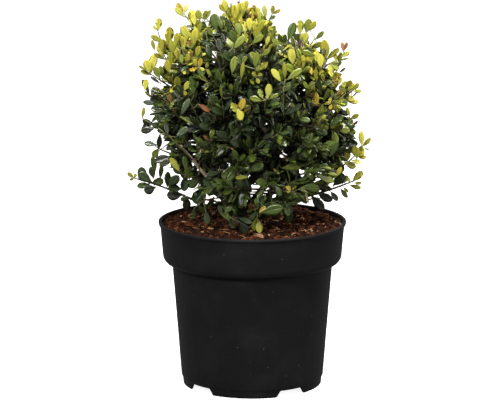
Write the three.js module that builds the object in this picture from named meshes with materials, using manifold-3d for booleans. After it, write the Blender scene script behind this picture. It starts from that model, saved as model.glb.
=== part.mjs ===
// A Japanese holly in its nursery pot: a rounded evergreen shrub with a short trunk, spreading boughs
// and a mass of small glossy leaves on each, growing in compost in a black plastic pot.
// Millimetres, +Z up, the ground under the pot at z = 0, and the shrub's front towards -Y.
import * as THREE from "three";
import { ConvexGeometry } from "three/addons/geometries/ConvexGeometry.js";
import { mergeVertices } from "three/addons/utils/BufferGeometryUtils.js";
import Module from "manifold-3d";

const wasm = await Module();
wasm.setup();

// Clearance that separate pieces keep from each other
const GAP = 0.3;

// Detail smaller than this is merged away where pieces were joined, and points this close are one
const SLIVER = 0.05;
const WELD = 1e-4;

// Pot: a thin moulded wall with a deep collar, standing on a ring of feet
const POT_HEIGHT = 166;
const POT_WALL = 1.6;
const POT_SEGMENTS = 40;
const LIP_RADIUS = 94;
const LIP_DEPTH = 3.5;
const LIP_SLOPE = 1;
const EDGE_ROUND = 0.6;
const COLLAR_TOP_RADIUS = 91.6;
const COLLAR_FOOT_RADIUS = 88.8;
const SHOULDER_TOP = 129;
const SHOULDER_FOOT = 120.5;
const SHOULDER_STEPS = 3;
const WALL_TOP_RADIUS = 79.8;
const WALL_FOOT_RADIUS = 70.9;
const FOOT_RADIUS = 69.5;
const FOOT_HEIGHT = 7;
const FOOT_THICKNESS = 2.4;
const BASE_THICKNESS = 2;

// Notches between the feet, by bearing: the front foot is the widest, the others share the rest
const NOTCHES = 5;
const FRONT_FOOT_BEARING = 263;
const FRONT_FOOT_SPAN = 82;
const NOTCH_FOOT_WIDTH = 33;
const NOTCH_TOP_WIDTH = 25;
const NOTCH_HEIGHT = 6.5;
const DRAIN_LENGTH = 15;
const DRAIN_WIDTH = 7;
const DRAIN_RADIUS = 59;

// Compost: its level, the height and length of its lumps, and the flat ring it keeps round the trunk
const SOIL_LEVEL = POT_HEIGHT - 9;
const SOIL_LUMP = 2;
const SOIL_LUMP_LENGTH = 42;
const SOIL_FLAT_RING = [14, 26];
const SOIL_RINGS = 6;

// Trunk: the flat cut at the compost, the fork, and the flare of the root crown
const TRUNK_FOOT = new THREE.Vector3(-13, 0, SOIL_LEVEL + GAP);
const TRUNK_FORK = new THREE.Vector3(-7, 3, 226);
const TRUNK_FOOT_RADIUS = 6.4;
const TRUNK_FORK_RADIUS = 4.4;
const TRUNK_SWAY = new THREE.Vector3(-4, -2, -26);
const ROOT_FLARE = 3.6;
const ROOT_FLARE_SHARE = 0.09;
const ROOT_LOBES = 3;
const ROOT_LOBE_DEPTH = 0.35;
const TRUNK_SIDES = 9;
const TRUNK_STEPS = 7;

// Crown outline: a rounded box about its middle, swollen or dented by lobes
const CROWN_MIDDLE = new THREE.Vector3(0, 0, 281);
const CROWN_HALF_WIDTH = 107;
const CROWN_RISE = 105;
const CROWN_DROP = 108;
const CROWN_SQUARENESS = { above: 2.4, below: 3.2 };
const CROWN_LOBES = [
  { bearing: 180, rise: 49, gain: 0.13, width: 22 },
  { bearing: 0, rise: 52, gain: -0.08, width: 22 },
  { bearing: 180, rise: -31, gain: 0.17, width: 12 },
  { bearing: 0, rise: -32, gain: 0.13, width: 16 },
  { bearing: 0, rise: -14, gain: 0.06, width: 11 },
  { bearing: 95, rise: 35, gain: 0.06, width: 26 },
  { bearing: 262, rise: 8, gain: 0.05, width: 24 },
];

// Boughs in rings, each aimed at the middle of its own mass: "depth" is that middle's share of the
// crown's reach, and "leaves" the share of the trunk's length at which the ring leaves it
const BOUGH_RINGS = [
  { name: "top", count: 1, rise: 88, bearing: 150, depth: 0.62, leaves: 1, radius: 3.9 },
  { name: "upper", count: 5, rise: 30, bearing: 38, depth: 0.63, leaves: 0.93, radius: 3.4 },
  { name: "lower", count: 7, rise: -13, bearing: 355, depth: 0.64, leaves: 0.62, radius: 3.1 },
  { name: "low", count: 3, rise: -55, bearing: 275, depth: 0.72, leaves: 0.3, radius: 2.6 },
];
const FOLIAGE_COLOURS = { top: 0xa3a338, upper: 0x66752c, lower: 0x31421f, low: 0x2a3a1c };
const KNEE_SHARE = 0.32;
const TIP_SHARE = 0.55;
const BOUGH_TIP_RADIUS = 2.2;
const BOUGH_SIDES = 5;
const BOUGH_STEPS = 4;
const BEARING_JITTER = 6;
const BOUGH_STAGGER = 0.06;
const BOUGH_SAG = 7;

// Foliage: shoots aimed at points spread evenly over the outline, and leaves along their outer ends
const SHOOTS = 140;
const LOWEST_AIM = -0.95;
const SHOOT_REACH = [0.77, 0.86];
const SHOOT_RADIUS = 1;
const SHOOT_TIP_RADIUS = 0.8;
const STEM_RADIUS = 2.2;
const STEM_TIP_RADIUS = 1.5;
const STEM_SIDES = 4;
const TWIG_SIDES = 3;
const SHOOTY_PART = [0.97, 0.12];
const LEAVES_A_SHOOT = 5;
const LEAFY_PART = [0.95, 0.42];
const LEAF_LENGTH = 25;
const LEAF_WIDTH = 15;
const LEAF_RIDGE = 1.2;
const LEAF_SHOULDERS = [
  { along: 0.5, across: 0.48, drop: 0.7 },
  { along: 0.86, across: 0.36, drop: 1 },
];
const LEAF_LEAN = [26, 74];
const LEAF_SIZES = [0.92, 1.1];
const LEAN_TRIES = [1, 0.7, 1.25, 0.85];
const SIZE_TRIES = [1, 0.95, 0.85, 0.75];
const LEAF_PAST_TIP = 21;
const LIGHT_PULL = 0.4;

// Leading shoots that stand out of the outline: where each points and how far its last leaf reaches
const LEADING_SHOOTS = [
  { bearing: 178, rise: 55, reach: 129 },
  { bearing: 186, rise: 43, reach: 131 },
  { bearing: 186, rise: -27, reach: 139 },
  { bearing: 196, rise: -35, reach: 138 },
  { bearing: 356, rise: -15, reach: 123 },
  { bearing: 10, rise: -27, reach: 128 },
  { bearing: 352, rise: -35, reach: 134 },
  { bearing: 350, rise: 33, reach: 115 },
  { bearing: 250, rise: 87, reach: 113 },
];

// Lowest foliage: above the lumps of the compost, and above the rim from a little inside it
const FLOOR_IN_POT = SOIL_LEVEL + 2 * SOIL_LUMP + 2;
const FLOOR_PAST_RIM = POT_HEIGHT + 2;
const RIM_REACH = 72;

const UP = new THREE.Vector3(0, 0, 1);
const GOLDEN_ANGLE = Math.PI * (3 - Math.sqrt(5));
const lerp = THREE.MathUtils.lerp;
const radians = THREE.MathUtils.degToRad;

// A repeatable random number from 0 to 1 for a pair of whole numbers.
function chance(index, salt) {
  const wave = Math.sin(index * 127.1 + salt * 311.7) * 43758.5453;
  return wave - Math.floor(wave);
}

function direction(bearing, rise) {
  const level = Math.cos(radians(rise));
  return new THREE.Vector3(
    level * Math.cos(radians(bearing)),
    level * Math.sin(radians(bearing)),
    Math.sin(radians(rise)),
  );
}

// Solids

// A closed geometry as a solid that can be joined and cut.
function solidOf(geometry) {
  const bare = geometry.clone();
  bare.deleteAttribute("normal");
  bare.deleteAttribute("uv");
  const merged = mergeVertices(bare, WELD);
  return new wasm.Manifold(
    new wasm.Mesh({
      numProp: 3,
      vertProperties: merged.attributes.position.array,
      triVerts: new Uint32Array(merged.index.array),
    }),
  );
}

// The largest body of a solid, without loose scraps and without hollows that joining sealed.
function largestBody(solid) {
  return solid.decompose().reduce((a, b) => (b.volume() > a.volume() ? b : a));
}

function geometryOf(solid) {
  const mesh = solid.getMesh();
  const geometry = new THREE.BufferGeometry();
  geometry.setAttribute("position", new THREE.BufferAttribute(mesh.vertProperties, 3));
  geometry.setIndex(new THREE.BufferAttribute(mesh.triVerts, 1));
  geometry.computeVertexNormals();
  return geometry;
}

function namedMesh(name, geometry, colour, roughness) {
  const material = new THREE.MeshStandardMaterial({ color: colour, roughness, metalness: 0 });
  const mesh = new THREE.Mesh(geometry, material);
  mesh.name = name;
  return mesh;
}

// A profile of [radius, height] points turned about the Z axis.
function turned(profile, segments) {
  const points = profile.map(([radius, height]) => new THREE.Vector2(radius, height));
  return new THREE.LatheGeometry(points, segments).rotateX(Math.PI / 2);
}

// A limb along a curve: its rings' middles, and two directions across it at each ring.
function limbOf(curve, sides, steps) {
  const { normals, binormals } = curve.computeFrenetFrames(steps, false);
  const middles = normals.map((_, step) => curve.getPointAt(step / steps));
  return { middles, normals, binormals, sides, steps };
}

// The direction out of a limb at one of its rings, at an angle round it.
function outOfLimb(limb, step, angle) {
  const across = limb.normals[step].clone().multiplyScalar(Math.sin(angle));
  return across.addScaledVector(limb.binormals[step], -Math.cos(angle));
}

// A limb's surface: the rings of a unit cylinder carried to the limb's, each point at its own radius.
function limbGeometry(limb, radiusAt) {
  const geometry = new THREE.CylinderGeometry(1, 1, 1, limb.sides, limb.steps);
  const position = geometry.attributes.position;
  const corner = new THREE.Vector3();
  for (let i = 0; i < position.count; i++) {
    corner.fromBufferAttribute(position, i);
    const step = Math.round((corner.y + 0.5) * limb.steps);
    const angle = Math.atan2(corner.x, corner.z);
    const radius = radiusAt(step / limb.steps, angle) * Math.hypot(corner.x, corner.z);
    const place = limb.middles[step].clone().addScaledVector(outOfLimb(limb, step, angle), radius);
    position.setXYZ(i, place.x, place.y, place.z);
  }
  return geometry;
}

// Pot and compost

// The pot's outside from above its foot to the top of its rounded shoulder.
function outsideProfile() {
  const points = [[WALL_FOOT_RADIUS, FOOT_HEIGHT + BASE_THICKNESS]];
  for (let i = 0; i <= SHOULDER_STEPS; i++) {
    const turn = ((i / SHOULDER_STEPS) * Math.PI) / 2;
    points.push([
      lerp(WALL_TOP_RADIUS, COLLAR_FOOT_RADIUS, Math.sin(turn)),
      lerp(SHOULDER_TOP, SHOULDER_FOOT, Math.cos(turn)),
    ]);
  }
  return points;
}

// The pot's inside from its base to a height in its collar, drawn in by a clearance.
function insideProfile(clearance, top) {
  const inset = POT_WALL + clearance;
  const collar = (top - SHOULDER_TOP) / (POT_HEIGHT - SHOULDER_TOP);
  return [
    [WALL_FOOT_RADIUS - inset, FOOT_HEIGHT + BASE_THICKNESS + clearance],
    [WALL_TOP_RADIUS - inset, SHOULDER_FOOT + inset],
    [COLLAR_FOOT_RADIUS - inset, SHOULDER_TOP + inset],
    [lerp(COLLAR_FOOT_RADIUS, COLLAR_TOP_RADIUS, collar) - inset, top],
  ];
}

// Bearings of the notches, in degrees: one each side of the front foot, the rest evenly between.
function notchBearings() {
  const first = FRONT_FOOT_BEARING + FRONT_FOOT_SPAN / 2;
  const step = (360 - FRONT_FOOT_SPAN) / (NOTCHES - 1);
  return Array.from({ length: NOTCHES }, (_, i) => first + i * step);
}

function notchSolid(bearing) {
  const trapezoid = new THREE.Shape([
    new THREE.Vector2(-NOTCH_FOOT_WIDTH / 2, -1),
    new THREE.Vector2(NOTCH_FOOT_WIDTH / 2, -1),
    new THREE.Vector2(NOTCH_TOP_WIDTH / 2, NOTCH_HEIGHT),
    new THREE.Vector2(-NOTCH_TOP_WIDTH / 2, NOTCH_HEIGHT),
  ]);
  const geometry = new THREE.ExtrudeGeometry(trapezoid, { depth: FOOT_RADIUS / 2, bevelEnabled: false });
  geometry.rotateX(Math.PI / 2).rotateZ(Math.PI / 2).translate(FOOT_RADIUS * 0.75, 0, 0);
  return solidOf(geometry.rotateZ(radians(bearing)));
}

function drainSolid(bearing) {
  const half = (DRAIN_LENGTH - DRAIN_WIDTH) / 2;
  const slot = new THREE.Shape();
  slot.absarc(0, half, DRAIN_WIDTH / 2, 0, Math.PI, false);
  slot.absarc(0, -half, DRAIN_WIDTH / 2, Math.PI, 2 * Math.PI, false);
  const geometry = new THREE.ExtrudeGeometry(slot, {
    depth: 3 * BASE_THICKNESS,
    bevelEnabled: false,
    curveSegments: 5,
  });
  geometry.translate(DRAIN_RADIUS, 0, FOOT_HEIGHT - BASE_THICKNESS);
  return solidOf(geometry.rotateZ(radians(bearing)));
}

function potGeometry() {
  const profile = [
    [0, FOOT_HEIGHT],
    [FOOT_RADIUS - FOOT_THICKNESS, FOOT_HEIGHT],
    [FOOT_RADIUS - FOOT_THICKNESS, 0],
    [FOOT_RADIUS - EDGE_ROUND, 0],
    [FOOT_RADIUS, FOOT_HEIGHT],
    ...outsideProfile(),
    [COLLAR_TOP_RADIUS, POT_HEIGHT - LIP_DEPTH],
    [LIP_RADIUS, POT_HEIGHT - LIP_DEPTH + LIP_SLOPE],
    [LIP_RADIUS, POT_HEIGHT - EDGE_ROUND],
    [LIP_RADIUS - EDGE_ROUND, POT_HEIGHT],
    ...insideProfile(0, POT_HEIGHT).reverse(),
    [0, FOOT_HEIGHT + BASE_THICKNESS],
  ];
  const cuts = notchBearings().flatMap((bearing) => [notchSolid(bearing), drainSolid(bearing)]);
  return geometryOf(solidOf(turned(profile, POT_SEGMENTS)).subtract(wasm.Manifold.union(cuts)));
}

// Height of the compost above its level: two crossing waves that die away at the trunk.
function soilLump(x, y) {
  const fromTrunk = Math.hypot(x - TRUNK_FOOT.x, y - TRUNK_FOOT.y);
  const clear = THREE.MathUtils.smoothstep(fromTrunk, ...SOIL_FLAT_RING);
  const turn = (2 * Math.PI) / SOIL_LUMP_LENGTH;
  return SOIL_LUMP * clear * Math.sin(turn * (x + y / 3)) * Math.cos(turn * (y - x / 5));
}

function compostGeometry() {
  const side = insideProfile(GAP, SOIL_LEVEL);
  const edge = side[side.length - 1][0];
  const profile = [[0, FOOT_HEIGHT + BASE_THICKNESS + GAP], ...side];
  for (let i = SOIL_RINGS - 1; i >= 0; i--) profile.push([(edge * i) / SOIL_RINGS, SOIL_LEVEL]);
  const geometry = turned(profile, POT_SEGMENTS / 2);
  const position = geometry.attributes.position;
  for (let i = 0; i < position.count; i++) {
    if (position.getZ(i) < SOIL_LEVEL - WELD) continue;
    position.setZ(i, SOIL_LEVEL + soilLump(position.getX(i), position.getY(i)));
  }
  return geometry;
}

// Trunk and boughs

const trunkCurve = new THREE.CubicBezierCurve3(
  TRUNK_FOOT,
  TRUNK_FOOT.clone().addScaledVector(UP, -TRUNK_SWAY.z),
  TRUNK_FORK.clone().add(TRUNK_SWAY),
  TRUNK_FORK,
);

function trunkRadius(along, angle) {
  const flare = ROOT_FLARE * Math.exp(-along / ROOT_FLARE_SHARE);
  const lobes = 1 + ROOT_LOBE_DEPTH * Math.cos(ROOT_LOBES * angle);
  return lerp(TRUNK_FOOT_RADIUS, TRUNK_FORK_RADIUS, along) + flare * lobes;
}

function trunkGeometry(extra) {
  const radiusAt = (along, angle) => trunkRadius(along, angle) + extra;
  return limbGeometry(limbOf(trunkCurve, TRUNK_SIDES, TRUNK_STEPS), radiusAt);
}

// Distance from the crown's middle to its outline along a unit direction.
function crownReach(aim) {
  const power = aim.z > 0 ? CROWN_SQUARENESS.above : CROWN_SQUARENESS.below;
  const height = aim.z > 0 ? CROWN_RISE : CROWN_DROP;
  const level = Math.hypot(aim.x, aim.y) / CROWN_HALF_WIDTH;
  const box = (level ** power + Math.abs(aim.z / height) ** power) ** (-1 / power);
  const swell = CROWN_LOBES.reduce((sum, lobe) => {
    const angle = aim.angleTo(direction(lobe.bearing, lobe.rise)) / radians(lobe.width);
    return sum + lobe.gain * Math.exp(-angle * angle);
  }, 1);
  return box * swell;
}

function crownPoint(aim, depth) {
  return CROWN_MIDDLE.clone().addScaledVector(aim, crownReach(aim) * depth);
}

// Every bough as a curve towards the middle of its mass: the leader goes on from the trunk's flat top,
// the others start in the middle of the trunk.
function growBoughs() {
  const grown = [];
  const upTrunk = trunkCurve.getTangentAt(1);
  for (const ring of BOUGH_RINGS) {
    for (let i = 0; i < ring.count; i++) {
      const leader = ring.leaves === 1;
      const jitter = BEARING_JITTER * (2 * chance(grown.length, 1) - 1);
      const bearing = ring.bearing + (360 * i) / ring.count + jitter;
      const middle = crownPoint(direction(bearing, ring.rise), ring.depth);
      const root = trunkCurve.getPointAt(leader ? 1 : ring.leaves - BOUGH_STAGGER * (i % 3));
      if (leader) root.addScaledVector(upTrunk, GAP);
      const knee = root.clone();
      if (leader) knee.addScaledVector(upTrunk, KNEE_SHARE * root.distanceTo(middle));
      else knee.lerp(middle, KNEE_SHARE).addScaledVector(UP, -BOUGH_SAG);
      const tip = knee.clone().lerp(middle, TIP_SHARE);
      const name = leader ? ring.name : `${ring.name}_${i + 1}`;
      grown.push({ name, ring, middle, curve: new THREE.QuadraticBezierCurve3(root, knee, tip) });
    }
  }
  return grown;
}

function boughGeometry(bough, extra) {
  const radiusAt = (along) => lerp(bough.ring.radius, BOUGH_TIP_RADIUS, along) + extra;
  return limbGeometry(limbOf(bough.curve, BOUGH_SIDES, BOUGH_STEPS), radiusAt);
}

const boughs = growBoughs();
const trunkSolid = solidOf(trunkGeometry(0));

// Each bough is cut back clear of the trunk and of the boughs before it.
let keepClear = solidOf(trunkGeometry(GAP));
for (const bough of boughs) {
  bough.solid = largestBody(solidOf(boughGeometry(bough, 0)).subtract(keepClear));
  keepClear = keepClear.add(solidOf(boughGeometry(bough, GAP)));
}

// Foliage

// True where a point is in a mass's own space: nearer its middle than any other's, by the gap.
function inOwnSpace(point, number) {
  const own = boughs[number].middle;
  return boughs.every(({ middle }, other) => {
    if (other === number) return true;
    const across = middle.clone().sub(own).normalize();
    const halfway = middle.clone().add(own).multiplyScalar(0.5);
    return across.dot(halfway.sub(point)) > GAP / 2 + SLIVER;
  });
}

// True where a point is clear above the compost and the pot's rim.
function aboveFloor(point) {
  const floor = Math.hypot(point.x, point.y) < RIM_REACH ? FLOOR_IN_POT : FLOOR_PAST_RIM;
  return point.z > floor;
}

// A piece fits its mass where every corner is in the mass's space and none of the others is touched.
function fits(geometry, number, others) {
  const position = geometry.attributes.position;
  const corner = new THREE.Vector3();
  for (let i = 0; i < position.count; i++) {
    corner.fromBufferAttribute(position, i);
    if (!inOwnSpace(corner, number) || !aboveFloor(corner)) return false;
  }
  const solid = solidOf(geometry);
  return others.every((other) => solid.intersect(other).isEmpty());
}

// A leaf along +X, a shallow roof: the hull of its stalk end, its tip and a pair of shoulders at its
// middle and near its blunt end.
function leafHull() {
  const corners = [new THREE.Vector3(0, 0, 0), new THREE.Vector3(LEAF_LENGTH, 0, 0)];
  for (const { along, across, drop } of LEAF_SHOULDERS) {
    for (const side of [-1, 1]) {
      corners.push(new THREE.Vector3(LEAF_LENGTH * along, side * LEAF_WIDTH * across, -LEAF_RIDGE * drop));
    }
  }
  return new ConvexGeometry(corners);
}

const leafShape = leafHull();

// A leaf from a point in a shoot, leaning off the shoot to one side, its upper face to the light.
function leafGeometry(base, along, away, lean, size) {
  const axis = along.clone().multiplyScalar(Math.cos(lean)).addScaledVector(away, Math.sin(lean));
  const face = along.clone().multiplyScalar(Math.sin(lean)).addScaledVector(away, -Math.cos(lean));
  face.addScaledVector(UP, LIGHT_PULL);
  face.addScaledVector(axis, -face.dot(axis)).normalize();
  const across = new THREE.Vector3().crossVectors(face, axis);
  const place = new THREE.Matrix4().makeBasis(axis, across, face).setPosition(base);
  return leafShape.clone().scale(size, size, size).applyMatrix4(place);
}

// One leaf of a shoot, by its rank from the tip: tried on each side of the shoot, leaning and sized
// in turn, until it fits.
function growLeaf(shoot, rank, number, others) {
  const share = rank / (LEAVES_A_SHOOT - 1);
  const place = lerp(...LEAFY_PART, share);
  const [start, end] = shoot.limb.middles;
  const base = start.clone().lerp(end, place);
  const along = end.clone().sub(start).normalize();
  const size = lerp(...LEAF_SIZES, chance(shoot.index * LEAVES_A_SHOOT + rank, 3));
  const lean = radians(lerp(...LEAF_LEAN, share));
  for (let attempt = 0; attempt < TWIG_SIDES * LEAN_TRIES.length; attempt++) {
    const side = rank + shoot.index + attempt + 0.5;
    const away = outOfLimb(shoot.limb, 0, (side * 2 * Math.PI) / TWIG_SIDES);
    const round = Math.floor(attempt / TWIG_SIDES);
    const geometry = leafGeometry(base, along, away, lean * LEAN_TRIES[round], size * SIZE_TRIES[round]);
    if (fits(geometry, number, others)) return solidOf(geometry);
  }
  return null;
}

// Where the shoots end: the leading ones first, then a spiral of even points inside the outline.
function shootTargets() {
  const targets = LEADING_SHOOTS.map(({ bearing, rise, reach }) =>
    CROWN_MIDDLE.clone().addScaledVector(direction(bearing, rise), reach - LEAF_PAST_TIP),
  );
  for (let index = 0; index < SHOOTS; index++) {
    const height = 1 - (2 * index + 1) / SHOOTS;
    if (height < LOWEST_AIM) continue;
    const level = Math.sqrt(1 - height * height);
    const turn = index * GOLDEN_ANGLE;
    const aim = new THREE.Vector3(level * Math.cos(turn), level * Math.sin(turn), height);
    targets.push(crownPoint(aim, lerp(...SHOOT_REACH, chance(index, 2))));
  }
  return targets;
}

// Each target goes to the mass whose middle is nearest.
function shareTargets() {
  const shares = boughs.map(() => []);
  shootTargets().forEach((target, index) => {
    const distances = boughs.map(({ middle }) => middle.distanceTo(target));
    shares[distances.indexOf(Math.min(...distances))].push({ target, index });
  });
  return shares;
}

// The straight shoots of a mass, from places along its stem out to their targets.
function growShoots(stem, number, targets) {
  const radiusAt = (along) => lerp(SHOOT_RADIUS, SHOOT_TIP_RADIUS, along);
  const shoots = targets.map(({ target, index }, turn) => {
    const start = stem.getPointAt(lerp(...SHOOTY_PART, (turn + 0.5) / targets.length));
    const limb = limbOf(new THREE.LineCurve3(start, target), TWIG_SIDES, 1);
    return { limb, index, geometry: limbGeometry(limb, radiusAt) };
  });
  const fitting = shoots.filter(({ geometry }) => fits(geometry, number, [keepClear]));
  return fitting.map((shoot) => ({ ...shoot, solid: solidOf(shoot.geometry) }));
}

// A mass: its stem goes on from the bough's tip, shoots leave the stem, and leaves fill the shoots from
// their tips inwards.
function massGeometry(bough, number, targets) {
  const start = bough.curve.getPointAt(1).addScaledVector(bough.curve.getTangentAt(1), GAP);
  const stem = new THREE.LineCurve3(start, bough.middle);
  const stemRadius = (along) => lerp(STEM_RADIUS, STEM_TIP_RADIUS, along);
  const shoots = growShoots(stem, number, targets);
  const pieces = [solidOf(limbGeometry(limbOf(stem, STEM_SIDES, 1), stemRadius))];
  pieces.push(...shoots.map(({ solid }) => solid));
  let taken = keepClear;
  for (let rank = 0; rank < LEAVES_A_SHOOT; rank++) {
    for (const shoot of shoots) {
      const otherShoots = shoots.filter((other) => other !== shoot).map(({ solid }) => solid);
      const leaf = growLeaf(shoot, rank, number, [taken, ...otherShoots]);
      if (!leaf) continue;
      taken = taken.add(leaf);
      pieces.push(leaf);
    }
  }
  return geometryOf(largestBody(wasm.Manifold.union(pieces).asOriginal().simplify(SLIVER)));
}

// The whole plant, moved so that the origin is under the middle of its bounding box.
function buildPlant() {
  const plant = new THREE.Group();
  plant.add(namedMesh("pot", potGeometry(), 0x1b1b1d, 0.6));
  plant.add(namedMesh("compost", compostGeometry(), 0x4a2c1c, 0.95));
  plant.add(namedMesh("trunk", geometryOf(trunkSolid), 0x3a2d22, 0.9));
  const targets = shareTargets();
  boughs.forEach((bough, number) => {
    const foliage = massGeometry(bough, number, targets[number]);
    plant.add(namedMesh(`bough_${bough.name}`, geometryOf(bough.solid), 0x6a5a45, 0.85));
    plant.add(namedMesh(`foliage_${bough.name}`, foliage, FOLIAGE_COLOURS[bough.ring.name], 0.45));
  });
  const middle = new THREE.Box3().setFromObject(plant).getCenter(new THREE.Vector3());
  plant.position.set(-middle.x, -middle.y, 0);
  return plant;
}

export default buildPlant();
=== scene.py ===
import bpy
import numpy as np
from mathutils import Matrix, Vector


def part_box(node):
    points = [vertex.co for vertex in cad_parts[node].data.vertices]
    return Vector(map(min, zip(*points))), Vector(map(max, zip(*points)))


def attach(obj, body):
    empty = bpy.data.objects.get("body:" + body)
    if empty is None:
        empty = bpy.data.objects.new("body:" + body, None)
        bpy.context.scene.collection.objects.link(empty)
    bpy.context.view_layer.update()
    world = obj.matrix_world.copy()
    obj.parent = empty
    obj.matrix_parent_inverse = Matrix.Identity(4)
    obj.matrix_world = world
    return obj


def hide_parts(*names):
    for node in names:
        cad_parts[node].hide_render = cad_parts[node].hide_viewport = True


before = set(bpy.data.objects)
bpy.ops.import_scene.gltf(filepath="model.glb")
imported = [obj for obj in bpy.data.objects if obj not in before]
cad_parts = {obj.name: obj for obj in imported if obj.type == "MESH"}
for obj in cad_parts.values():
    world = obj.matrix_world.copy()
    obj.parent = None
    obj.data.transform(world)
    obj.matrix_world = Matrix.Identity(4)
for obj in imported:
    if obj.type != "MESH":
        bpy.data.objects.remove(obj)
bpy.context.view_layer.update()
print("frame loaded:", len(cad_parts), "solids")

# Sizes below are millimetres about the pot's axis with the ground at 0; toFrame gives the frame's metres.
mm = 0.001
potLow, potHigh = (np.array(corner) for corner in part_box("pot"))
potAxis = np.array([*(potLow + potHigh)[:2] / 2, 0.0])
potHeight = (potHigh - potLow)[2] / mm
lipRadius = (potHigh - potLow)[0] / mm / 2
up = np.array([0.0, 0.0, 1.0])
goldenAngle = np.pi * (3 - np.sqrt(5))
seeds = {"crumbs": 7, "leaves": 1, "buds": 31, "singles": 3, "tints": 5, "budding": 8}


# millimetres about the pot's axis turned into the frame's metres
def toFrame(points):
    return np.asarray(points, float) * mm + potAxis


# a straight share of the way from one value to the other
def mix(a, b, share):
    return a + (b - a) * share


# 0 below low, 1 above high, an S curve between
def ease(low, high, x):
    t = np.clip((x - low) / (high - low), 0, 1)
    return t * t * (3 - 2 * t)


# vectors divided by their lengths
def unit(v):
    return v / np.maximum(np.linalg.norm(v, axis=-1, keepdims=True), 1e-9)


# the products of two vectors' parts added up
def dot(a, b):
    return (a * b).sum(-1, keepdims=True)


# a repeatable number from 0 to 1: the fraction of a steep sine wave of two numbers
def chance(index, salt):
    wave = np.sin(np.asarray(index, float) * 127.1 + salt * 311.7) * 43758.5453
    return wave - np.floor(wave)


# unit vector at a compass bearing and a rise above the level, in degrees
def direction(bearing, rise):
    b, r = np.radians(bearing), np.radians(rise)
    return np.stack([np.cos(r) * np.cos(b), np.cos(r) * np.sin(b), np.sin(r) + 0 * b], -1)


# smooth noise: sine waves in seeded directions added up, about -1 to 1, crests about "length" apart
def waves(points, length, seed, count=10):
    rng = np.random.default_rng(seed)
    ways = unit(rng.normal(size=(count, points.shape[-1])))
    turns = 2 * np.pi / length * rng.uniform(0.6, 1.6, (count, 1))
    phase = rng.uniform(0, 2 * np.pi, count)
    return np.sin(points @ (ways * turns).T + phase).sum(-1) / np.sqrt(count)


# Meshes

# a shape is a dictionary: points (n, 3), faces as a list of (f, corners) arrays, paint as the material
# number of each of those arrays' faces, and place (n, 2) as its own map
def shapeOf(points, faces, paint=None, place=None):
    points = points.reshape(-1, 3)
    paint = paint or [np.zeros(len(f), int) for f in faces]
    place = np.zeros((len(points), 2)) if place is None else place.reshape(-1, 2)
    return {"points": points, "faces": faces, "paint": paint, "place": place}


# several shapes as one
def joined(shapes):
    starts = np.cumsum([0] + [len(s["points"]) for s in shapes])
    return {
        "points": np.concatenate([s["points"] for s in shapes]),
        "faces": [f + start for s, start in zip(shapes, starts) for f in s["faces"]],
        "paint": [p for s in shapes for p in s["paint"]],
        "place": np.concatenate([s["place"] for s in shapes]),
    }


# a shape copied to many places: its points turned by each frame (n, 3, 3) of row vectors and moved
def strewn(shape, frames, places):
    count, size = len(places), len(shape["points"])
    points = np.einsum("vi,nij->nvj", shape["points"], frames) + places[:, None]
    starts = np.arange(count)[:, None, None] * size
    faces = [(f[None] + starts).reshape(-1, f.shape[1]) for f in shape["faces"]]
    paint = [np.tile(p, count) for p in shape["paint"]]
    return shapeOf(points, faces, paint, np.tile(shape["place"], (count, 1)))


# quads between neighbouring rows of a grid, closed round its columns if it is a ring
def gridFaces(rows, columns, ring):
    row, column = np.meshgrid(np.arange(rows - 1), np.arange(columns - (not ring)), indexing="ij")
    after = (column + 1) % columns
    corners = [row * columns + column, row * columns + after,
               (row + 1) * columns + after, (row + 1) * columns + column]
    return np.stack(corners, -1).reshape(-1, 4)


# a tube along each path of a stack (paths, steps, 3): rings square to the path, each point at its radius,
# (paths, steps) or (paths, steps, sides), closed by a face at each end
def tubes(paths, radii, sides):
    count, steps = paths.shape[:2]
    ahead = unit(np.gradient(paths, axis=1))
    chord = unit(paths[:, -1] - paths[:, 0])
    helper = np.where(np.abs(chord[:, 2:]) > 0.9, [[1.0, 0, 0]], [[0, 0, 1.0]])
    side = unit(np.cross(chord, helper))[:, None]
    across = unit(side - dot(side, ahead) * ahead)
    other = np.cross(ahead, across)
    turn = np.arange(sides) * 2 * np.pi / sides
    out = across[:, :, None] * np.cos(turn)[:, None] + other[:, :, None] * np.sin(turn)[:, None]
    radii = radii[..., None] if radii.ndim == 2 else radii
    points = paths[:, :, None] + out * radii[..., None]
    starts = np.arange(count)[:, None, None] * steps * sides
    quads = (gridFaces(steps, sides, True)[None] + starts).reshape(-1, 4)
    ring = np.arange(sides)
    caps = np.stack([ring[::-1], (steps - 1) * sides + ring])[None] + starts
    place = np.stack(np.meshgrid(np.linspace(0, 1, steps), ring / sides, indexing="ij"), -1)
    place = np.tile(place.reshape(-1, 2), (count, 1))
    return shapeOf(points, [quads, caps.reshape(-1, sides)], None, place)


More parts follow.
